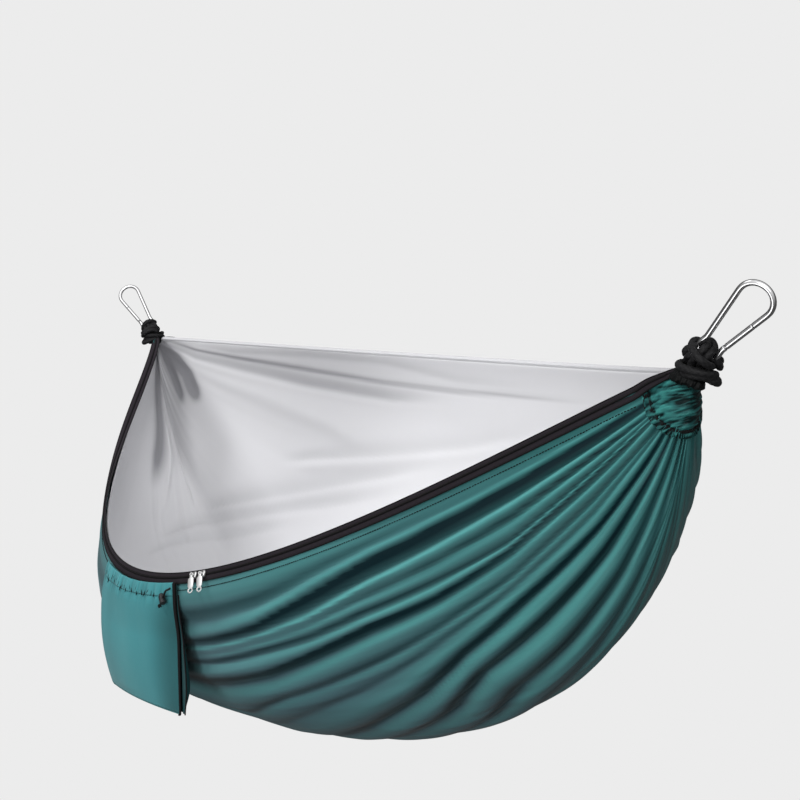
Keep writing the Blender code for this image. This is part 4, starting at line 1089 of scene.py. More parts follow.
# ---------------------------------------------------------------- gathered ends
def make_end(side):
    knot = KNOT[side]
    sign = 1.0 if side == "right" else -1.0
    mirror = np.array([sign, 1.0, 1.0])
    rows = np.linspace(0.0, 2.0, 261)
    lanes = np.linspace(0.0, 1.0, 84)
    seam_at = SEAM_RADIUS + 0.0100 if side == "right" else SEAM_RADIUS
    outer = np.arcsin(station_at(rows, seam_at + 0.0030, side))[None, :]
    inner = np.arcsin(station_at(rows, 0.0130, side))[None, :]
    t2, tau2 = np.meshgrid(lanes, rows, indexing="ij")
    u = np.sin(outer + (inner - outer) * t2)
    q = tau2 / 2.0
    base, out = bed(u, tau2), bed_normal(u, tau2)
    faced = 0.25 + 0.75 * smooth(0.05, 0.55, -(out @ EYE_LOOK)) if side == "right" else 1.0
    tips = smooth(0.0, 0.07, q) * smooth(0.0, 0.07, 1.0 - q)
    # ruches run at a slant across the whole channel, as the cloth is pushed together along the cord
    local = (base - knot) * mirror
    run = local @ unit([0.34, 0.86, 0.36])
    lift = local @ unit([-0.16, -0.34, 0.93])
    bent = 0.55 * wander(run / 0.011 + 9.0, lift / 0.010, 60)
    ruche = 0.60 * wander(run / 0.0105 + 3.0, lift / 0.0021 + bent + 20.0, 61) + 0.45 * wander(run / 0.0050, lift / 0.0012 + bent, 62)
    puff = 0.0036 * np.sin(np.pi * np.clip(t2 * 0.80 + 0.10, 0, 1)) ** 0.8
    count = 27
    lobes = np.abs(np.sin(np.pi * q * count + 0.5 * wander(q * 20.0, 0.5, 64)))
    rim = np.exp(-((t2 - 0.05) / 0.055) ** 2)
    high = puff * (1 - 0.3 * rim) + 0.0021 * ruche * faced * (1 - 0.6 * rim) + rim * (0.0042 * lobes ** 0.8 * faced * tips - 0.0006)
    groove = np.exp(-((t2 - 0.125) / 0.025) ** 2)
    high = high - 0.0018 * groove
    points = base + out * (high + 0.0006)[..., None]
    points = points + unit(knot - base) * (-0.0022 * rim * lobes * tips * faced)[..., None]
    # painted light on the channel: paler on the ruches, painted shade in the groove, between the seam's lobes and on
    # the side turned right
    shaded = smooth(-0.8, 0.8, (base - knot) @ EYE_RIGHT / 0.030)
    fold = np.clip(0.50 + 0.80 * ruche - 0.30 * groove - 0.45 * rim * (1 - lobes) - 0.42 * shaded, 0, 1)
    uv = np.stack([t2 * 0.04, tau2 * 0.62], -1)
    obj = grid_object(side + "_end_channel", points, uv, {"fold": fold})
    thicken(obj, 0.0009)
    dress(obj, CHANNEL_NYLON, "hammock", "bed_nylon", side + "_end_sleeve")

    # dark thread that winds between the lobes of the gathering seam
    k = np.linspace(0.0, count, count * 18 + 1)
    tau_at = np.clip(2.0 * k / count, 0.004, 1.996)
    swing = np.cos(2 * np.pi * k)
    radius = seam_at - 0.0010 + 0.0044 * swing + 0.0008 * wander(k * 1.3, 2.0 + sign, 66)
    tau_at = np.clip(tau_at + 0.020 * np.sin(2 * np.pi * k), 0.003, 1.997)
    u_at = np.array([float(station_at(np.array(t_), r_, side)) for t_, r_ in zip(tau_at, radius)])
    up_off = bed_normal(u_at, tau_at)
    seen = smooth(0.05, 0.55, -(up_off @ EYE_LOOK)) if side == "right" else 1.0
    line = bed(u_at, tau_at) + up_off * (0.0010 + (0.0016 - 0.0012 * swing) * seen)[..., None]
    seam = tube_mesh(side + "_gather_stitching", line, 0.00072, sides=7)
    dress(seam, TAPE_DARK, "hammock", "black_tape")
    tau_at = np.linspace(0.004, 1.996, 160)
    u_at = station_at(tau_at, seam_at - 0.0052, side)
    line = bed(u_at, tau_at) + bed_normal(u_at, tau_at) * (0.0018 + 0.0006 * wander(tau_at * 30.0, 0.5, 68))[..., None]
    seam = tube_mesh(side + "_gather_cord", line, 0.00065, sides=8)
    dress(seam, TAPE_DARK, "hammock", "black_tape")

    # collar of dark gathered cloth between channel and rope
    if side == "right":
        middle, way, wide = knot - EYE_RIGHT * 0.0022 - UP * 0.0118, unit(-UP * 0.95 - EYE_RIGHT * 0.26 - np.array([0.10, 0, 0])), 0.0192
    else:
        middle, way, wide = knot + EYE_RIGHT * 0.0010 - UP * 0.0105, unit(-UP * 0.97 - EYE_RIGHT * 0.12 + np.array([0.10, 0, 0])), 0.0172
    a = unit(np.cross(way, UP + np.array([0.3, 0.1, 0.0])))
    b = np.cross(way, a)
    turn = np.linspace(0.0, 2 * np.pi, 161)[:-1]
    rise = np.linspace(0.0, 1.0, 40)
    a2, r2 = np.meshgrid(turn, rise, indexing="ij")
    path_r = np.interp(r2, [0.0, 0.10, 0.25, 0.45, 0.75, 1.0], [0.30, 0.84, 1.0, 0.97, 0.80, 0.62]) * wide
    path_s = np.interp(r2, [0.0, 0.10, 0.25, 0.45, 0.75, 1.0], [0.0030, 0.0040, 0.0014, -0.0030, -0.0085, -0.0125])
    lobes = np.cos(a2 * 11 + 2.5 * wander(a2 * 1.6, r2 * 2.0, 67)) + 0.5 * np.cos(a2 * 23 + 3.0 * r2 + 2.0 * wander(a2 * 3.0, 1.3, 69))
    crease = 1.0 + 0.060 * lobes * smooth(0.0, 0.2, r2) * (1 - 0.5 * r2)
    points = middle + a * (np.cos(a2) * path_r * crease)[..., None] + b * (np.sin(a2) * path_r * 0.92 * crease)[..., None] \
        + way * (path_s + 0.0008 * lobes * (1 - r2))[..., None]
    rows_n, cols_n = points.shape[:2]
    faces = grid_faces(rows_n, cols_n, wrap_rows=True)
    obj = mesh_object(side + "_collar", points, faces, None, {"fold": np.full(points.shape[:2], 0.2)})
    thicken(obj, 0.0008)
    dress(obj, COLLAR, "hammock", "black_tape", side + "_end_collar")


for which in ("left", "right"):
    make_end(which)


# ---------------------------------------------------------------- rope work
def rope(name, points, body, nodes, radius=ROPE_R + 0.0004):
    line, run = resample(points, 0.0007)
    sides = 28
    angle = np.linspace(0, 2 * np.pi, sides, endpoint=False)[None, :]
    run = run[:, None]
    a = angle * 4 + run * (2 * np.pi / 0.0062)
    b = angle * 4 - run * (2 * np.pi / 0.0062)
    braid = np.abs(np.cos(a * 0.5)) * 0.5 + np.abs(np.cos(b * 0.5)) * 0.5
    r = radius * (0.93 + 0.10 * braid)
    obj = tube_mesh(name, line, r, sides=sides, values={"braid": np.clip((braid - 0.35) * 1.6, 0, 1)})
    return dress(obj, ROPE, body, "rope", *nodes)


# Strands that lie over the knot on the side that it is seen from: right, up and forwards from the knot's middle, in mm.
KNOT_STRANDS = [
    ([(-4.0, 16.0, 2.0), (-4.8, 19.5, 8.0), (0.8, 23.2, 13.0), (8.5, 23.2, 15.0), (16.9, 19.2, 16.0), (24.6, 13.6, 14.5), (30.0, 9.3, 8.0), (30.0, 8.0, 1.0)], 0.0),
    ([(-3.6, 10.5, 6.0), (-2.2, 13.8, 13.0), (4.1, 16.4, 16.5), (11.8, 15.2, 18.5), (20.7, 10.9, 18.5), (27.6, 5.6, 14.0), (30.0, 2.4, 6.0)], 0.0),
    ([(3.0, 15.0, 4.0), (0.8, 23.9, 7.0), (3.3, 28.8, 6.0), (8.0, 29.6, 4.0), (12.4, 25.6, 5.0), (14.6, 18.8, 8.0)], 0.0),
    ([(15.4, 17.0, 6.0), (16.4, 25.6, 7.0), (19.8, 29.2, 5.0), (23.4, 26.8, 4.0), (24.8, 21.0, 5.0), (22.8, 15.0, 6.0)], 0.0),
    ([(-1.8, -4.8, 14.0), (6.0, -6.6, 17.5), (14.0, -9.0, 18.0), (22.0, -12.6, 15.0), (27.4, -13.8, 9.0), (28.4, -11.0, 2.0)], 0.0),
]


def make_rope_work(side):
    axis, face, gate = side_axes(side)
    lean = unit(axis * 0.22 + UP * 0.86)
    centre = KNOT[side] + axis * KNOT_ASIDE + UP * KNOT_DROP
    a = unit(np.array([1.0, 0.0, 0.0]) - lean * lean[0])
    b = np.cross(lean, a)
    steps = int(WHIP_TURNS * 14)
    turns = []
    for i in range(steps + 1):
        angle = math.pi * (0.5 - 2.0 * WHIP_TURNS * i / steps)
        rise = (i / steps - 0.5) * WHIP_TURNS * WHIP_PITCH
        early = 1.0 - float(smooth(0.10, 0.45, i / steps))
        pull = 1.0 - 0.26 * early
        shift = EYE_RIGHT * (0.0050 * early) if side == "right" else EYE_RIGHT * 0.0
        wobble = lean * (0.0012 * math.sin(1.3 + angle * 0.7) + 0.0016 * early) + a * (0.0008 * math.sin(angle * 1.9))
        turns.append(centre + shift + (a * math.cos(angle) + b * math.sin(angle)) * WHIP_R * pull + lean * rise + wobble)
    rope(side + "_knot_wraps", turns, "hammock", (side + "_knot_turns",))
    scale = 0.001 if side == "right" else 0.00086
    for index, (route, deep) in enumerate(KNOT_STRANDS):
        line = []
        for x, z, forward in route:
            line.append(KNOT[side] + EYE_RIGHT * (x * scale * (1.0 if side == "right" else -1.0)) + EYE_UP * (z * scale) - EYE_LOOK * ((forward + deep) * scale))
        rope(side + "_knot_over_%d" % index, line, "hammock", ())
    tip = KNOT[side] + axis * (HOOK_SET_OFF + HOOK_ROD)
    strand = []
    for i in range(11):
        angle = CROSS_ARC * (i / 5.0 - 1.0)
        c, d = math.cos(angle), math.sin(angle)
        strand.append(tip + gate * (CROSS_WIDE * d) + face * (CROSS_DEEP * c) + axis * (CROSS_LIFT * c + CROSS_AT))
    rope(side + "_knot_strand", strand, "hammock", (side + "_cross_turn",))
    face_low = unit(face - lean * face.dot(lean))
    gate_low = unit(gate - lean * gate.dot(lean))
    for tag, shift in (("a", 0.00385), ("b", -0.00385)):
        foot = centre + lean * 0.0060 + gate_low * (shift * 1.2)

        def leg(way):
            top = tip + gate * shift + face * (BIGHT_WIDE * way)
            low = foot + face_low * (0.0064 * way)
            t = np.linspace(0, 1, 5)
            return list(bezier(low, low + lean * 0.005, top - axis * 0.005, top, t))

        arc = [tip + gate * shift + axis * (math.sin(math.radians(d)) * BIGHT_HIGH)
               + face * (math.cos(math.radians(d)) * BIGHT_WIDE) for d in range(20, 180, 20)]
        rope(side + "_knot_bight_" + tag, leg(1.0) + arc + leg(-1.0)[::-1], "hammock", (side + "_hang_loop_" + tag,))


for which in ("left", "right"):
    make_rope_work(which)


# ---------------------------------------------------------------- snap hooks
HINGE_AT, GATE_END = 0.0085, 0.0474


def make_hook(side):
    axis, face, gate = side_axes(side)
    tip = KNOT[side] + axis * (HOOK_SET_OFF + HOOK_ROD)
    bow = HOOK_LENGTH - 2 * HOOK_ROD - HOOK_BOW_R
    neck_a, neck_b = 0.0185, 0.0100
    span = math.hypot(bow - neck_a, neck_b)
    slope = math.asin(HOOK_BOW_R / span) - math.atan2(neck_b, bow - neck_a)
    run_a, run_b = math.cos(slope), math.sin(slope)

    def at(p, q):
        return tip + axis * p + gate * q

    def gate_line(s, out=0.0):
        return at(neck_a + run_a * s - run_b * out, neck_b + run_b * s + run_a * out)

    frame_end = HINGE_AT - 0.0026
    flat = [(neck_a + run_a * frame_end, neck_b + run_b * frame_end), (neck_a + run_a * 0.0008, neck_b + run_b * 0.0008),
            (neck_a - 0.0020, neck_b + 0.0006), (0.0146, HOOK_EYE_R + 0.0001)]
    for d in range(0, 181, 15):
        flat.append((HOOK_EYE_R - HOOK_EYE_R * math.sin(math.radians(d)), HOOK_EYE_R * math.cos(math.radians(d))))
    flat += [(0.0146, -HOOK_EYE_R - 0.0001), (neck_a - 0.0020, -neck_b - 0.0006), (neck_a + run_a * 0.0008, -neck_b - run_b * 0.0008)]
    first, last = -90 - math.degrees(slope), 90 + math.degrees(slope)
    for i in range(19):
        d = math.radians(first + (last - first) * i / 18)
        flat.append((bow + HOOK_BOW_R * math.cos(d), HOOK_BOW_R * math.sin(d)))
    end = GATE_END + 0.0008
    flat.append((neck_a + run_a * end, neck_b + run_b * end))
    raw = np.array([at(p, q) for p, q in flat], float)
    span_at = np.concatenate([[0.0], np.cumsum(np.linalg.norm(np.diff(raw, axis=0), axis=1))])
    even = np.linspace(0.0, span_at[-1], int(span_at[-1] / 0.0008))
    line = np.stack([np.interp(even, span_at, raw[:, k]) for k in range(3)], -1)
    for _ in range(14):
        line[1:-1] = 0.25 * line[:-2] + 0.5 * line[1:-1] + 0.25 * line[2:]
    body = tube_mesh(side + "_hook_rod", line, HOOK_ROD, sides=32, caps="flat")
    dress(body, STEEL, side + "_hook", "steel", side + "_hook_body")
    run = unit(gate_line(1.0) - gate_line(0.0))
    start, stop = HINGE_AT - 0.0016, GATE_END - 0.0003
    s = np.array([start, start + 0.0008, start + 0.0022, stop - 0.0008, stop - 0.0003, stop])
    s = np.sort(np.concatenate([s, np.linspace(start + 0.002, stop - 0.002, 24)]))
    radius = HOOK_ROD * np.interp(s, [start, start + 0.0008, start + 0.0022, stop - 0.0008, stop - 0.0003, stop], [0.62, 0.88, 1.0, 1.0, 0.95, 0.88])
    line = np.array([gate_line(k) for k in s])
    lever = tube_mesh(side + "_gate_rod", line, radius, sides=32, caps="flat")
    dress(lever, STEEL, side + "_gate", "steel", side + "_hook_gate", side + "_gate_spring")
    pin = []
    for k in (-1.0, 1.0):
        where = gate_line(HINGE_AT) + face * (HOOK_ROD - 0.0001) * k
        pin.append(where)
    shank = np.array([pin[0] - face * 0.0007, pin[0], 0.5 * (pin[0] + pin[1]), pin[1], pin[1] + face * 0.0007])
    rivet = tube_mesh(side + "_hook_rivet", shank, np.array([0.0009, 0.0013, 0.0012, 0.0013, 0.0009]), sides=18)
    dress(rivet, STEEL, side + "_hook", "steel", side + "_hinge_pin")
    tongue = np.array([gate_line(GATE_END - 0.0034), gate_line(GATE_END + 0.0010)])
    link = tube_mesh(side + "_hook_nose_neck", resample(tongue, 0.001)[0], 0.0019, sides=16, caps="flat")
    dress(link, STEEL, side + "_hook", "steel")
    tongue = np.array([gate_line(HINGE_AT - 0.0040), gate_line(HINGE_AT - 0.0016)])
    link = tube_mesh(side + "_hook_hinge_neck", resample(tongue, 0.001)[0], 0.0019, sides=16, caps="flat")
    dress(link, STEEL, side + "_hook", "steel")


for which in ("left", "right"):
    make_hook(which)


# ---------------------------------------------------------------- zip sliders and their pulls
def plate(name, outline, holes, thick, origin, across, down, out, bevel=0.0003):
    """A flat plate cut to an outline in (across, down), with round holes, and softened edges."""
    bm = bmesh.new()
    curve = [bm.verts.new((x, y, 0.0)) for x, y in outline]
    edges = [bm.edges.new((curve[i], curve[(i + 1) % len(curve)])) for i in range(len(curve))]
    for cx, cy, r in holes:
        ring = [bm.verts.new((cx + r * math.cos(2 * math.pi * i / 20), cy + r * math.sin(2 * math.pi * i / 20), 0.0)) for i in range(20)]
        edges += [bm.edges.new((ring[i], ring[(i + 1) % 20])) for i in range(20)]
    bmesh.ops.triangle_fill(bm, use_beauty=True, use_dissolve=False, edges=edges)
    mesh = bpy.data.meshes.new(name)
    bm.to_mesh(mesh)
    bm.free()
    obj = new_object(name, mesh)
    turn = Matrix((across, down, out)).transposed().to_4x4()
    obj.data.transform(Matrix.Translation(Vector(origin - ORIGIN)) @ turn)
    skin = obj.modifiers.new("Thickness", "SOLIDIFY")
    skin.thickness = thick
    skin.offset = 0.0
    edge = obj.modifiers.new("Edges", "BEVEL")
    edge.width = bevel
    edge.segments = 2
    edge.limit_method = "ANGLE"
    edge.angle_limit = math.radians(50)
    mesh.shade_smooth()
    mesh.set_sharp_from_angle(angle=math.radians(40))
    return obj


SLIDER_X = {"left": 0.2727, "right": 0.2980}


def make_slider(side):
    u = SLIDER_X[side] / HALF
    p, along, down, out = (np.asarray(v, float) for v in rim_frame(np.array(u)))
    # body: a waisted block with a domed top
    angle = np.linspace(0, 2 * np.pi, 48, endpoint=False)
    rings = []
    for height, grow in ((0.0022, 0.90), (0.0026, 1.0), (0.0049, 1.0), (0.0057, 0.93), (0.0061, 0.80), (0.0062, 0.45)):
        c = np.sign(np.cos(angle)) * np.abs(np.cos(angle)) ** 0.45
        s = np.sign(np.sin(angle)) * np.abs(np.sin(angle)) ** 0.55
        waist = 1.0 - 0.16 * np.cos(angle) ** 2 * 0.5
        rings.append(p + along * (c * 0.0055 * grow)[:, None] + down * (s * 0.0048 * grow * waist)[:, None] + out * height)
    rings = np.array(rings)
    verts = rings.reshape(-1, 3)
    faces = grid_faces(len(rings), 48, wrap_cols=True)
    count = len(verts)
    verts = np.vstack([verts, rings[0].mean(0), rings[-1].mean(0)])
    k = np.arange(48)
    fan0 = np.stack([np.full(48, count), (k + 1) % 48, k], -1)
    base = (len(rings) - 1) * 48
    fan1 = np.stack([np.full(48, count + 1), base + k, base + (k + 1) % 48], -1)
    body = tri_quad_object(side + "_slider_body", verts, faces, np.vstack([fan0, fan1]))
    dress(body, BRIGHT, side + "_slider", "slider_metal", side + "_slider")
    bail = []
    for i in range(17):
        d = math.pi * i / 16
        bail.append(p + along * (0.0038 * math.cos(d)) + out * (0.0056 + 0.0038 * math.sin(d) ** 0.6))
    arch = tube_mesh(side + "_slider_bail", resample(bail, 0.0004)[0], 0.0007, sides=10)
    dress(arch, BRIGHT, side + "_slider", "slider_metal")
    eye = p + out * 0.0090
    hang = unit(down * 1.0 + along * 0.34)
    facing = unit(out * 0.55 - EYE_LOOK * 0.75)
    facing = unit(facing - hang * facing.dot(hang))
    sideways = unit(np.cross(facing, hang))
    right = [(0.0019, 0.0034), (0.0021, 0.0052), (0.0042, 0.0064), (0.0044, 0.0080), (0.0043, 0.0182), (0.0033, 0.0200)]
    tail = [(0.0042 * math.sin(math.radians(d)) , 0.0244 - 0.0042 * math.cos(math.radians(d))) for d in range(40, 321, 14)]
    eye_arc = [(0.0026 * math.sin(math.radians(d)), -0.0026 * math.cos(math.radians(d))) for d in range(-130, 131, 13)]
    outline = eye_arc + right + tail + [(-x, y) for x, y in right[::-1]]
    pull = plate(side + "_pull", outline, [(0.0, 0.0, 0.0014), (0.0, 0.0244, 0.0021)], 0.0013, eye, sideways, hang, facing)
    dress(pull, BRIGHT, side + "_pull", "slider_metal", side + "_pull_tab")
    rim_ring = [eye + hang * (0.0244 - 0.0033 * math.cos(2 * math.pi * i / 24)) + sideways * (0.0033 * math.sin(2 * math.pi * i / 24)) + facing * 0.0007 for i in range(25)]
    ring = tube_mesh(side + "_pull_ring", np.array(rim_ring), 0.0006 + 0.00018 * np.cos(np.arange(25) * np.pi), sides=8)
    dress(ring, BRIGHT, side + "_pull", "slider_metal")


for which in ("left", "right"):
    make_slider(which)


# ---------------------------------------------------------------- stuff sack
SACK_LEFT, SACK_RIGHT = -0.128, 0.219
SACK_TOP_GAP, SACK_FRONT_THICK, SACK_GAP, PIPING_R = 0.0085, 0.0016, 0.0006, 0.0019
SACK_DROP_LEFT, SACK_DROP_RIGHT = -0.508, -0.494


def sack_front(s, t):
    s, t = np.broadcast_arrays(np.asarray(s, float), np.asarray(t, float))
    x = SACK_LEFT + (SACK_RIGHT - SACK_LEFT) * s
    rim = near_rim(x / HALF)
    left_off = 0.0085 - 0.0050 * t + 0.058 * t * (1 - t)
    right_off = 0.0050 - 0.0030 * t
    belly = 0.0040 * np.sin(np.pi * s) * np.sin(np.pi * t)
    mouth = (0.0016 + 0.0030 * s + 0.0034 * np.sin(np.pi * s)) * (1.0 - smooth(0.14, 0.45, t))
    y = rim[..., 1] - (left_off * (1 - s) + right_off * s) - belly - mouth
    top = rim[..., 2] - SACK_TOP_GAP
    low = SACK_DROP_LEFT * (1 - s) + SACK_DROP_RIGHT * s
    return stack(x, y, top + (low - top) * t)


def sack_depth(s, t):
    round_side = np.maximum(0.0, np.sin(np.pi * np.clip(s, 0.0, 1.0))) ** 0.5
    round_low = np.sqrt(np.maximum(0.0, 1.0 - np.maximum(0.0, (t - 0.55) / 0.45) ** 2))
    corner = smooth(0.30, 0.80, t) * (1.0 - smooth(0.80, 1.05, t)) * smooth(0.35, 0.95, s)
    slack = 0.0034 * round_side * (1.0 - smooth(0.14, 0.45, t))
    return (0.0016 + 0.0022 * smooth(0.0, 0.3, t) + 0.0110 * round_side * round_low * smooth(0.0, 0.42, t)
            + 0.0095 * corner + slack)


def sack_back(s, t):
    s, t = np.broadcast_arrays(np.asarray(s, float), np.asarray(t, float))
    inner = np.minimum(1.0, s / 0.92)
    p = sack_front(inner, t)
    forward = smooth(0.90, 1.0, s)
    p[..., 0] += (0.0034 + 0.0040 * smooth(0.3, 0.8, t)) * np.sin(np.pi * np.minimum(1.0, 0.9 * forward)) ** 0.7 + 0.0014 * forward
    p[..., 1] += sack_depth(inner, t) * (1.0 - forward) + SACK_FRONT_THICK + SACK_GAP + 0.0011 * forward
    return p


def mouth_wave(s):
    return 0.65 * wander(s * 26.0, 0.4, 71) + 0.45 * wander(s * 55.0, 1.4, 72)


def sack_front_look(s, t):
    """The front panel with its mouth drawn in against the band."""
    p = sack_front(s, t)
    pull = 1.0 - smooth(0.0, 0.16, t)
    p[..., 1] += 0.0034 * pull * (0.4 + 0.6 * np.sin(np.pi * np.clip(s, 0, 1)) ** 0.5)
    p[..., 2] += 0.0022 * (1.0 - smooth(0.0, 0.10, t))
    ruffle = 1.0 - smooth(0.05, 0.24, t)
    p[..., 1] -= ruffle * (0.0004 + 0.0011 * mouth_wave(s))
    soft = 0.0016 * wander(s * 3.0 + 1.0, t * 0.9, 75) + 0.0006 * wander(s * 8.0, t * 2.0, 73)
    p[..., 1] -= soft * np.sin(np.pi * np.clip(s, 0, 1)) ** 0.4 * smooth(0.05, 0.3, t) * (1 - smooth(0.93, 1.0, t))
    return p


def make_sack():
    s, t = np.meshgrid(np.linspace(0, 1, 201), np.linspace(0, 1, 121), indexing="ij")
    p = sack_front_look(s, t)
    ruffle = 1.0 - smooth(0.03, 0.20, t)
    uv = np.stack([s * 0.35, t * 0.19], -1)
    # painted light on the front panel: paler and darker along the mouth's gathers, a painted sheen down the middle,
    # painted shade towards the right side and darker at the left edge, over random mottling
    shade_right = smooth(0.72, 0.99, s) * (0.55 + 0.45 * smooth(0.1, 0.4, t))
    middle = np.exp(-((s - 0.45) / 0.16) ** 2) * smooth(0.15, 0.5, t)
    fold = np.clip(0.5 + 0.45 * ruffle * mouth_wave(s) + 0.08 * wander(s * 5.0, t * 1.5, 76) + 0.12 * middle - 0.36 * shade_right - 0.12 * smooth(0.12, 0.0, s), 0, 1)
    front = grid_object("sack_front_cloth", p, uv, {"fold": fold}, flip=True)
    thicken(front, 0.0008, -1.0)
    dress(front, SACK_NYLON, "sack", "sack_nylon", "sack_front")
    s, t = np.meshgrid(np.linspace(0, 1, 181), np.linspace(0, 1, 91), indexing="ij")
    p = sack_back(s, t)
    uv = np.stack([s * 0.37, t * 0.19], -1)
    # painted shade on the back panel, deeper where it turns forward to the side seam
    back = grid_object("sack_back_cloth", p, uv, {"fold": np.clip(0.42 - 0.22 * smooth(0.90, 1.0, s), 0, 1)}, flip=True)
    thicken(back, 0.0008, -1.0)
    dress(back, SACK_BACK_SHADED, "sack", "sack_nylon", "sack_back")
    edge = lambda a, b: sack_front(a, b) + np.array([0.0, SACK_FRONT_THICK * 0.5, 0.0])
    # the side seam is bound in black, the left edge and the bottom are turned and sewn in the sack's own cloth
    pts = [edge(1.0, i / 10) + np.array([0.0012, -0.0004, 0.0]) for i in range(0, 11)]
    pts.append(edge(0.99, 1.0) + np.array([0.0, 0.0, -0.0028]))
    line, _ = resample(pts, 0.0012)
    width = 0.0030 - 0.0014 * np.linspace(0, 1, len(line)) ** 0.6
    piping = tube_mesh("sack_side_binding", line, width, sides=16)
    dress(piping, TAPE_DARK, "sack", "black_tape", "sack_piping")
    rear = [sack_back(0.965, i / 12) + np.array([0.0022, 0.0008, 0.0]) for i in range(1, 13)]
    rear[-1] = rear[-1] + np.array([-0.0010, 0.0, -0.0010])
    line, _ = resample(rear, 0.0012)
    piping = tube_mesh("sack_gusset_binding", line, 0.0010, sides=12)
    dress(piping, TAPE_DARK, "sack", "black_tape")
    pts = [edge(0.0, i / 8) + np.array([-0.0008, 0, 0]) for i in range(9)]
    pts += [edge(i / 12, 1.0) + np.array([0, 0, -0.0010]) for i in range(1, 13)]
    line, _ = resample(pts, 0.0016)
    seam = tube_mesh("sack_seam", line, 0.0012, sides=10, values={"fold": np.full(len(line), 0.55)})
    dress(seam, SEAM_NYLON, "sack", "sack_nylon")
    s, t = np.meshgrid(np.linspace(0, 1, 281), np.linspace(0, 1, 15), indexing="ij")
    p = sack_front_look(s, t * 0.088)
    p[..., 1] -= 0.0007 + 0.0013 * np.sin(np.pi * t) ** 0.6 + 0.0005 * mouth_wave(s) * (0.2 + 0.8 * t)
    # paler and darker along the mouth's gathers: painted highlight and painted shade
    hem = grid_object("sack_mouth", p, np.stack([s * 0.35, t * 0.012], -1), {"fold": np.clip(0.5 + 0.5 * mouth_wave(s) * (0.3 + 0.7 * t), 0, 1)}, flip=True)
    thicken(hem, 0.0008, -1.0)
    dress(hem, SACK_NYLON, "sack", "sack_nylon", "sack_mouth_hem")
    rng = np.random.default_rng(77)
    for index in range(22):
        middle = 0.04 + 0.78 * (index + rng.uniform(-0.3, 0.3)) / 21.0
        lean, size = rng.uniform(-0.012, 0.012), rng.uniform(0.024, 0.048)
        at = 0.064 + rng.uniform(-0.020, 0.026)
        k = np.linspace(-1.0, 1.0, 7)
        line = sack_front_look(middle + lean * k, at + size * 0.5 * k) + np.array([0.0, -0.0023, 0.0])
        tuck = tube_mesh("sack_tuck_%d" % index, line, 0.00075 * (1.05 - k ** 2 * 0.6), sides=8)
        dress(tuck, TAPE_DARK, "sack", "black_tape")
    s = np.linspace(0.03, 0.95, 240)
    line = sack_front_look(s, np.full(s.shape, 0.092)) + np.array([0.0, -0.0009, 0.0])
    sew = stitches("sack_stitching", line, np.tile(np.array([0.0, -1.0, 0.0]), (len(s), 1)), 0.0110, 0.0034, 0.00050)
    dress(sew, TAPE_DARK, "sack", "black_tape")


make_sack()


CORD_R, CORD_LENGTH, LOCK_AT = 0.0014, 0.0350, 0.0235
LOCK_R, LOCK_LENGTH = 0.0046, 0.0125


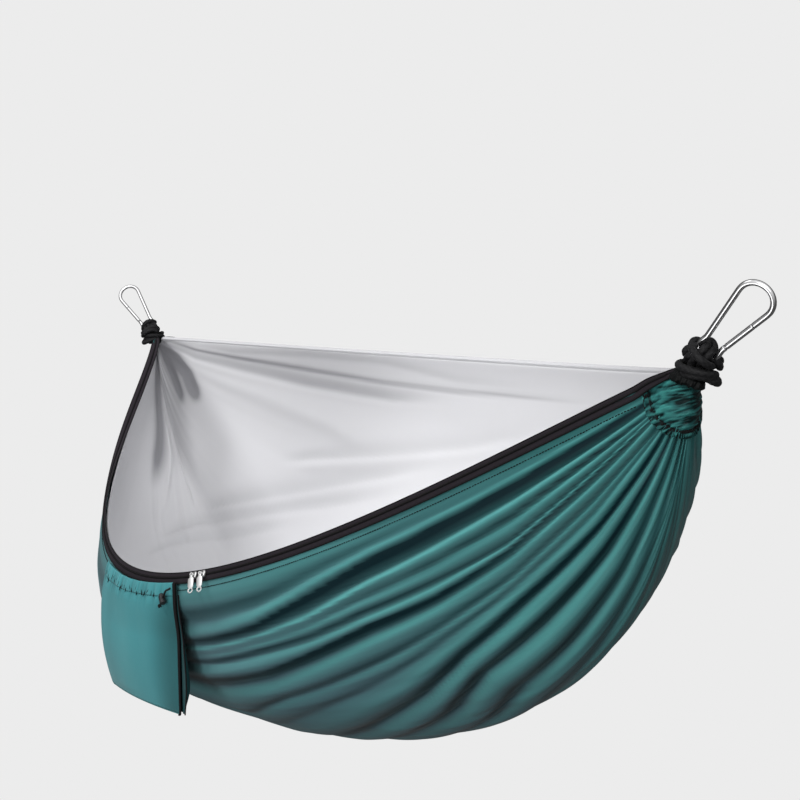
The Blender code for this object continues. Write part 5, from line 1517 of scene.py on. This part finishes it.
def make_cord():
    """The drawcord with its knot, and the lock on it."""
    p, q = sack_front(0.985, 0.0), sack_front(0.985, 0.075)
    start = p + (q - p) * 0.42 + np.array([0.0, -0.0015 - CORD_R - 0.0005, 0.0])
    way = unit([-0.70, -0.075, -0.71])
    lift = np.array([0.0, -0.0046, 0.0])
    t = np.linspace(0.0, 1.0, 81)[:, None]
    path = start + way * (CORD_LENGTH * t) + lift * smooth(0.0, 0.15, t)
    path = path[np.concatenate([[True], np.linalg.norm(np.diff(path, axis=0), axis=1) > 1e-6])]
    run = np.concatenate([[0.0], np.cumsum(np.linalg.norm(np.diff(path, axis=0), axis=1))])
    weave = 0.5 + 0.5 * np.cos(2 * np.pi * run / 0.0011)
    cord = tube_mesh("drawcord", path, CORD_R * (0.96 + 0.05 * weave), sides=16, values={"braid": weave})
    dress(cord, ROPE, "sack", "rope", "sack_drawcord")

    # a small overhand knot
    centre = path[-1] + way * 0.0031
    side = unit(np.cross(way, np.array([0.0, -1.0, 0.0])))
    face = np.cross(side, way)
    a = np.linspace(0.0, 2 * np.pi, 97)
    loop = [centre + side * ((0.0013 + 0.0009 * math.cos(3 * k)) * math.cos(2 * k)) * 1.0
            + face * ((0.0013 + 0.0009 * math.cos(3 * k)) * math.sin(2 * k)) + way * (0.0013 * math.sin(3 * k)) for k in a[:-2]]
    knot = tube_mesh("drawcord_end_knot", np.array(loop), 0.0010, sides=12, values={"braid": 0.5 + 0.5 * np.cos(a[:-2] * 26)})
    dress(knot, ROPE, "sack", "rope", "drawcord_knot")

    middle = start + way * LOCK_AT + lift
    across = unit(np.cross(way, np.array([0.0, -1.0, 0.0])))
    across = across if across[0] > 0 else -across
    low, high = 0.0010 - LOCK_LENGTH / 2, 0.0010 + LOCK_LENGTH / 2
    s = np.array([low, low + 0.0002, low + 0.0007, low + 0.0016, low + 0.0018, low + 0.0026, low + 0.0028, low + 0.0062, low + 0.0064,
                  low + 0.0072, low + 0.0074, high - 0.0016, high - 0.0007, high - 0.0002, high])
    r = LOCK_R * np.array([0.84, 0.95, 1.0, 1.0, 0.955, 0.955, 1.0, 1.0, 0.955, 0.955, 1.0, 1.0, 0.95, 0.82, 0.60])
    fine = np.sort(np.concatenate([s, np.linspace(low + 0.0030, low + 0.0060, 6), np.linspace(low + 0.0078, high - 0.0020, 4)]))
    barrel = tube_mesh("cord_lock_shell", middle + across * fine[:, None], np.interp(fine, s, r), sides=40, caps="flat")
    dress(barrel, PLASTIC, "cord_lock", "black_plastic", "cord_lock_barrel")
    collar = [middle + way * (k * 0.0046) for k in (-1.0, 1.0)]
    for index, where in enumerate(collar):
        turn = [where + across * (0.0022 * math.cos(d)) + np.cross(way, across) * (0.0022 * math.sin(d)) for d in np.linspace(0, 2 * math.pi, 25)]
        ring = tube_mesh("cord_lock_eye_%d" % index, np.array(turn), 0.0005, sides=8)
        dress(ring, PLASTIC, "cord_lock", "black_plastic")
    s = np.array([-0.0090, -0.0088, -0.0083, -0.0074, -0.0060, -0.0040, 0.0025])
    r = 0.0033 * np.array([0.62, 0.82, 0.95, 1.0, 1.0, 1.0, 1.0])
    button = tube_mesh("cord_lock_plunger", middle + across * s[:, None], r, sides=32, caps="flat")
    dress(button, PLASTIC, "cord_lock_button", "black_plastic", "cord_lock_button")
    [list(k) for k in path - ORIGIN]


make_cord()


# ---------------------------------------------------------------- CAD nodes that stay, with better materials
for name, obj in NODES.items():
    if obj.hide_render:
        continue
    if "hook" in name or "pin" in name or "spring" in name:
        paint(obj, STEEL)
    elif "slider" in name or "pull" in name:
        paint(obj, BRIGHT)
    elif name.startswith("cord_lock"):
        paint(obj, PLASTIC)
    else:
        paint(obj, ROPE)


# ---------------------------------------------------------------- stage, light
def make_stage():
    scene = bpy.context.scene
    scene.view_settings.view_transform = "Standard"
    scene.view_settings.look = "None"
    world = bpy.data.worlds.new("studio")
    scene.world = world
    world.use_nodes = True
    background = world.node_tree.nodes["Background"]
    # a pale studio on the side that the object faces, darker behind it
    sky = world.node_tree
    where = sky.nodes.new("ShaderNodeTexCoord").outputs["Generated"]
    facing = sky.nodes.new("ShaderNodeVectorMath")
    facing.operation = "DOT_PRODUCT"
    facing.inputs[1].default_value = (0.700, -0.420, 0.578)
    sky.links.new(where, facing.inputs[0])
    spread = sky.nodes.new("ShaderNodeMapRange")
    spread.interpolation_type = "SMOOTHSTEP"
    spread.inputs["From Min"].default_value = -0.16
    spread.inputs["From Max"].default_value = 0.95
    spread.inputs["To Min"].default_value = 0.07
    spread.inputs["To Max"].default_value = 0.85
    sky.links.new(facing.outputs["Value"], spread.inputs["Value"])
    sky.links.new(spread.outputs["Result"], background.inputs["Color"])
    background.inputs["Strength"].default_value = 1.08

    bm = bmesh.new()
    bmesh.ops.create_uvsphere(bm, u_segments=48, v_segments=24, radius=40.0)
    bmesh.ops.reverse_faces(bm, faces=bm.faces[:])
    mesh = bpy.data.meshes.new("backdrop")
    bm.to_mesh(mesh)
    bm.free()
    dome = new_object("backdrop", mesh)
    made = bpy.data.materials.new("backdrop")
    made.use_nodes = True
    tree = made.node_tree
    tree.nodes.remove(tree.nodes["Principled BSDF"])
    glow = tree.nodes.new("ShaderNodeEmission")
    glow.inputs["Color"].default_value = (0.8388, 0.8388, 0.8388, 1.0)
    tree.links.new(glow.outputs[0], tree.nodes["Material Output"].inputs["Surface"])
    mesh.materials.append(made)
    for key in ("visible_diffuse", "visible_glossy", "visible_transmission", "visible_volume_scatter", "visible_shadow"):
        setattr(dome, key, False)

    bm = bmesh.new()
    bmesh.ops.create_circle(bm, cap_ends=True, segments=96, radius=2.1)
    mesh = bpy.data.meshes.new("floor")
    bm.to_mesh(mesh)
    bm.free()
    floor = new_object("floor", mesh)
    floor.location = (1.17, 0.0, -1.30)
    made = bpy.data.materials.new("floor")
    made.use_nodes = True
    tree = made.node_tree
    shader = tree.nodes["Principled BSDF"]
    shader.inputs["Base Color"].default_value = (0.80, 0.80, 0.80, 1.0)
    shader.inputs["Roughness"].default_value = 0.9
    where = tree.nodes.new("ShaderNodeTexCoord").outputs["Object"]
    length = tree.nodes.new("ShaderNodeVectorMath")
    length.operation = "LENGTH"
    tree.links.new(where, length.inputs[0])
    fade = tree.nodes.new("ShaderNodeMapRange")
    fade.interpolation_type = "SMOOTHSTEP"
    fade.inputs["From Min"].default_value = 1.1
    fade.inputs["From Max"].default_value = 2.05
    tree.links.new(length.outputs["Value"], fade.inputs["Value"])
    clear = tree.nodes.new("ShaderNodeBsdfTransparent")
    blend = tree.nodes.new("ShaderNodeMixShader")
    tree.links.new(fade.outputs["Result"], blend.inputs[0])
    tree.links.new(shader.outputs[0], blend.inputs[1])
    tree.links.new(clear.outputs[0], blend.inputs[2])
    tree.links.new(blend.outputs[0], tree.nodes["Material Output"].inputs["Surface"])
    mesh.materials.append(made)
    floor.visible_glossy = False
    floor.visible_diffuse = False


def area(name, place, target, size, power, color=(1.0, 1.0, 1.0)):
    data = bpy.data.lights.new(name, "AREA")
    data.shape = "RECTANGLE"
    data.size, data.size_y = size
    data.energy = power
    data.color = color
    lamp = bpy.data.objects.new(name, data)
    bpy.context.scene.collection.objects.link(lamp)
    lamp.location = place
    lamp.rotation_mode = "QUATERNION"
    lamp.rotation_quaternion = (Vector(target) - Vector(place)).to_track_quat("-Z", "Y")
    return lamp


make_stage()
lamps = [
    area("key", (-1.5, -2.3, 2.8), (1.0, 0.0, -0.3), (1.5, 1.5), 182.0),
    area("top", (1.0, 0.9, 3.2), (1.2, 0.0, -0.3), (2.0, 1.6), 28.0),
    area("fill", (5.0, -2.2, 0.6), (1.4, 0.0, -0.3), (1.6, 1.6), 22.0),
    area("low_fill", (1.6, -2.6, -1.9), (1.2, -0.2, -0.4), (2.2, 1.6), 40.0),
]
beam = bpy.data.lights.new("inner", "SPOT")
beam.energy = 100.0
beam.spot_size = math.radians(38)
beam.spot_blend = 1.0
beam.shadow_soft_size = 0.35
inner = bpy.data.objects.new("inner", beam)
bpy.context.scene.collection.objects.link(inner)
inner.location = (2.7, -0.75, 1.75)
inner.rotation_mode = "QUATERNION"
inner.rotation_quaternion = (Vector((0.10, 0.02, -0.32)) - Vector((2.7, -0.75, 1.75))).to_track_quat("-Z", "Y")
beam = bpy.data.lights.new("inner_right", "SPOT")
beam.energy = 200.0
beam.spot_size = math.radians(25)
beam.spot_blend = 1.0
beam.shadow_soft_size = 0.30
inner_right = bpy.data.objects.new("inner_right", beam)
bpy.context.scene.collection.objects.link(inner_right)
inner_right.location = (3.0, -1.0, 1.2)
inner_right.rotation_mode = "QUATERNION"
inner_right.rotation_quaternion = (Vector((1.33, 0.29, -0.02)) - Vector((3.0, -1.0, 1.2))).to_track_quat("-Z", "Y")
for lamp in lamps + [inner, inner_right]:
    lamp.visible_glossy = False
# wide sheets of light before the object that only its shiny parts show
for name, place, target, size, power in (("gleam", (5.2, -1.5, 1.1), (1.2, 0.0, -0.2), (3.4, 2.4), 46.0),
                                         ("low_gleam", (2.9, -2.3, -1.9), (2.3, 0.1, 0.05), (1.5, 1.5), 15.0),
                                         ("left_gleam", (1.4, -2.0, 2.4), (-0.05, 0.0, 0.05), (1.6, 1.6), 14.0)):
    gleam = area(name, place, target, size, power)
    gleam.visible_diffuse = False
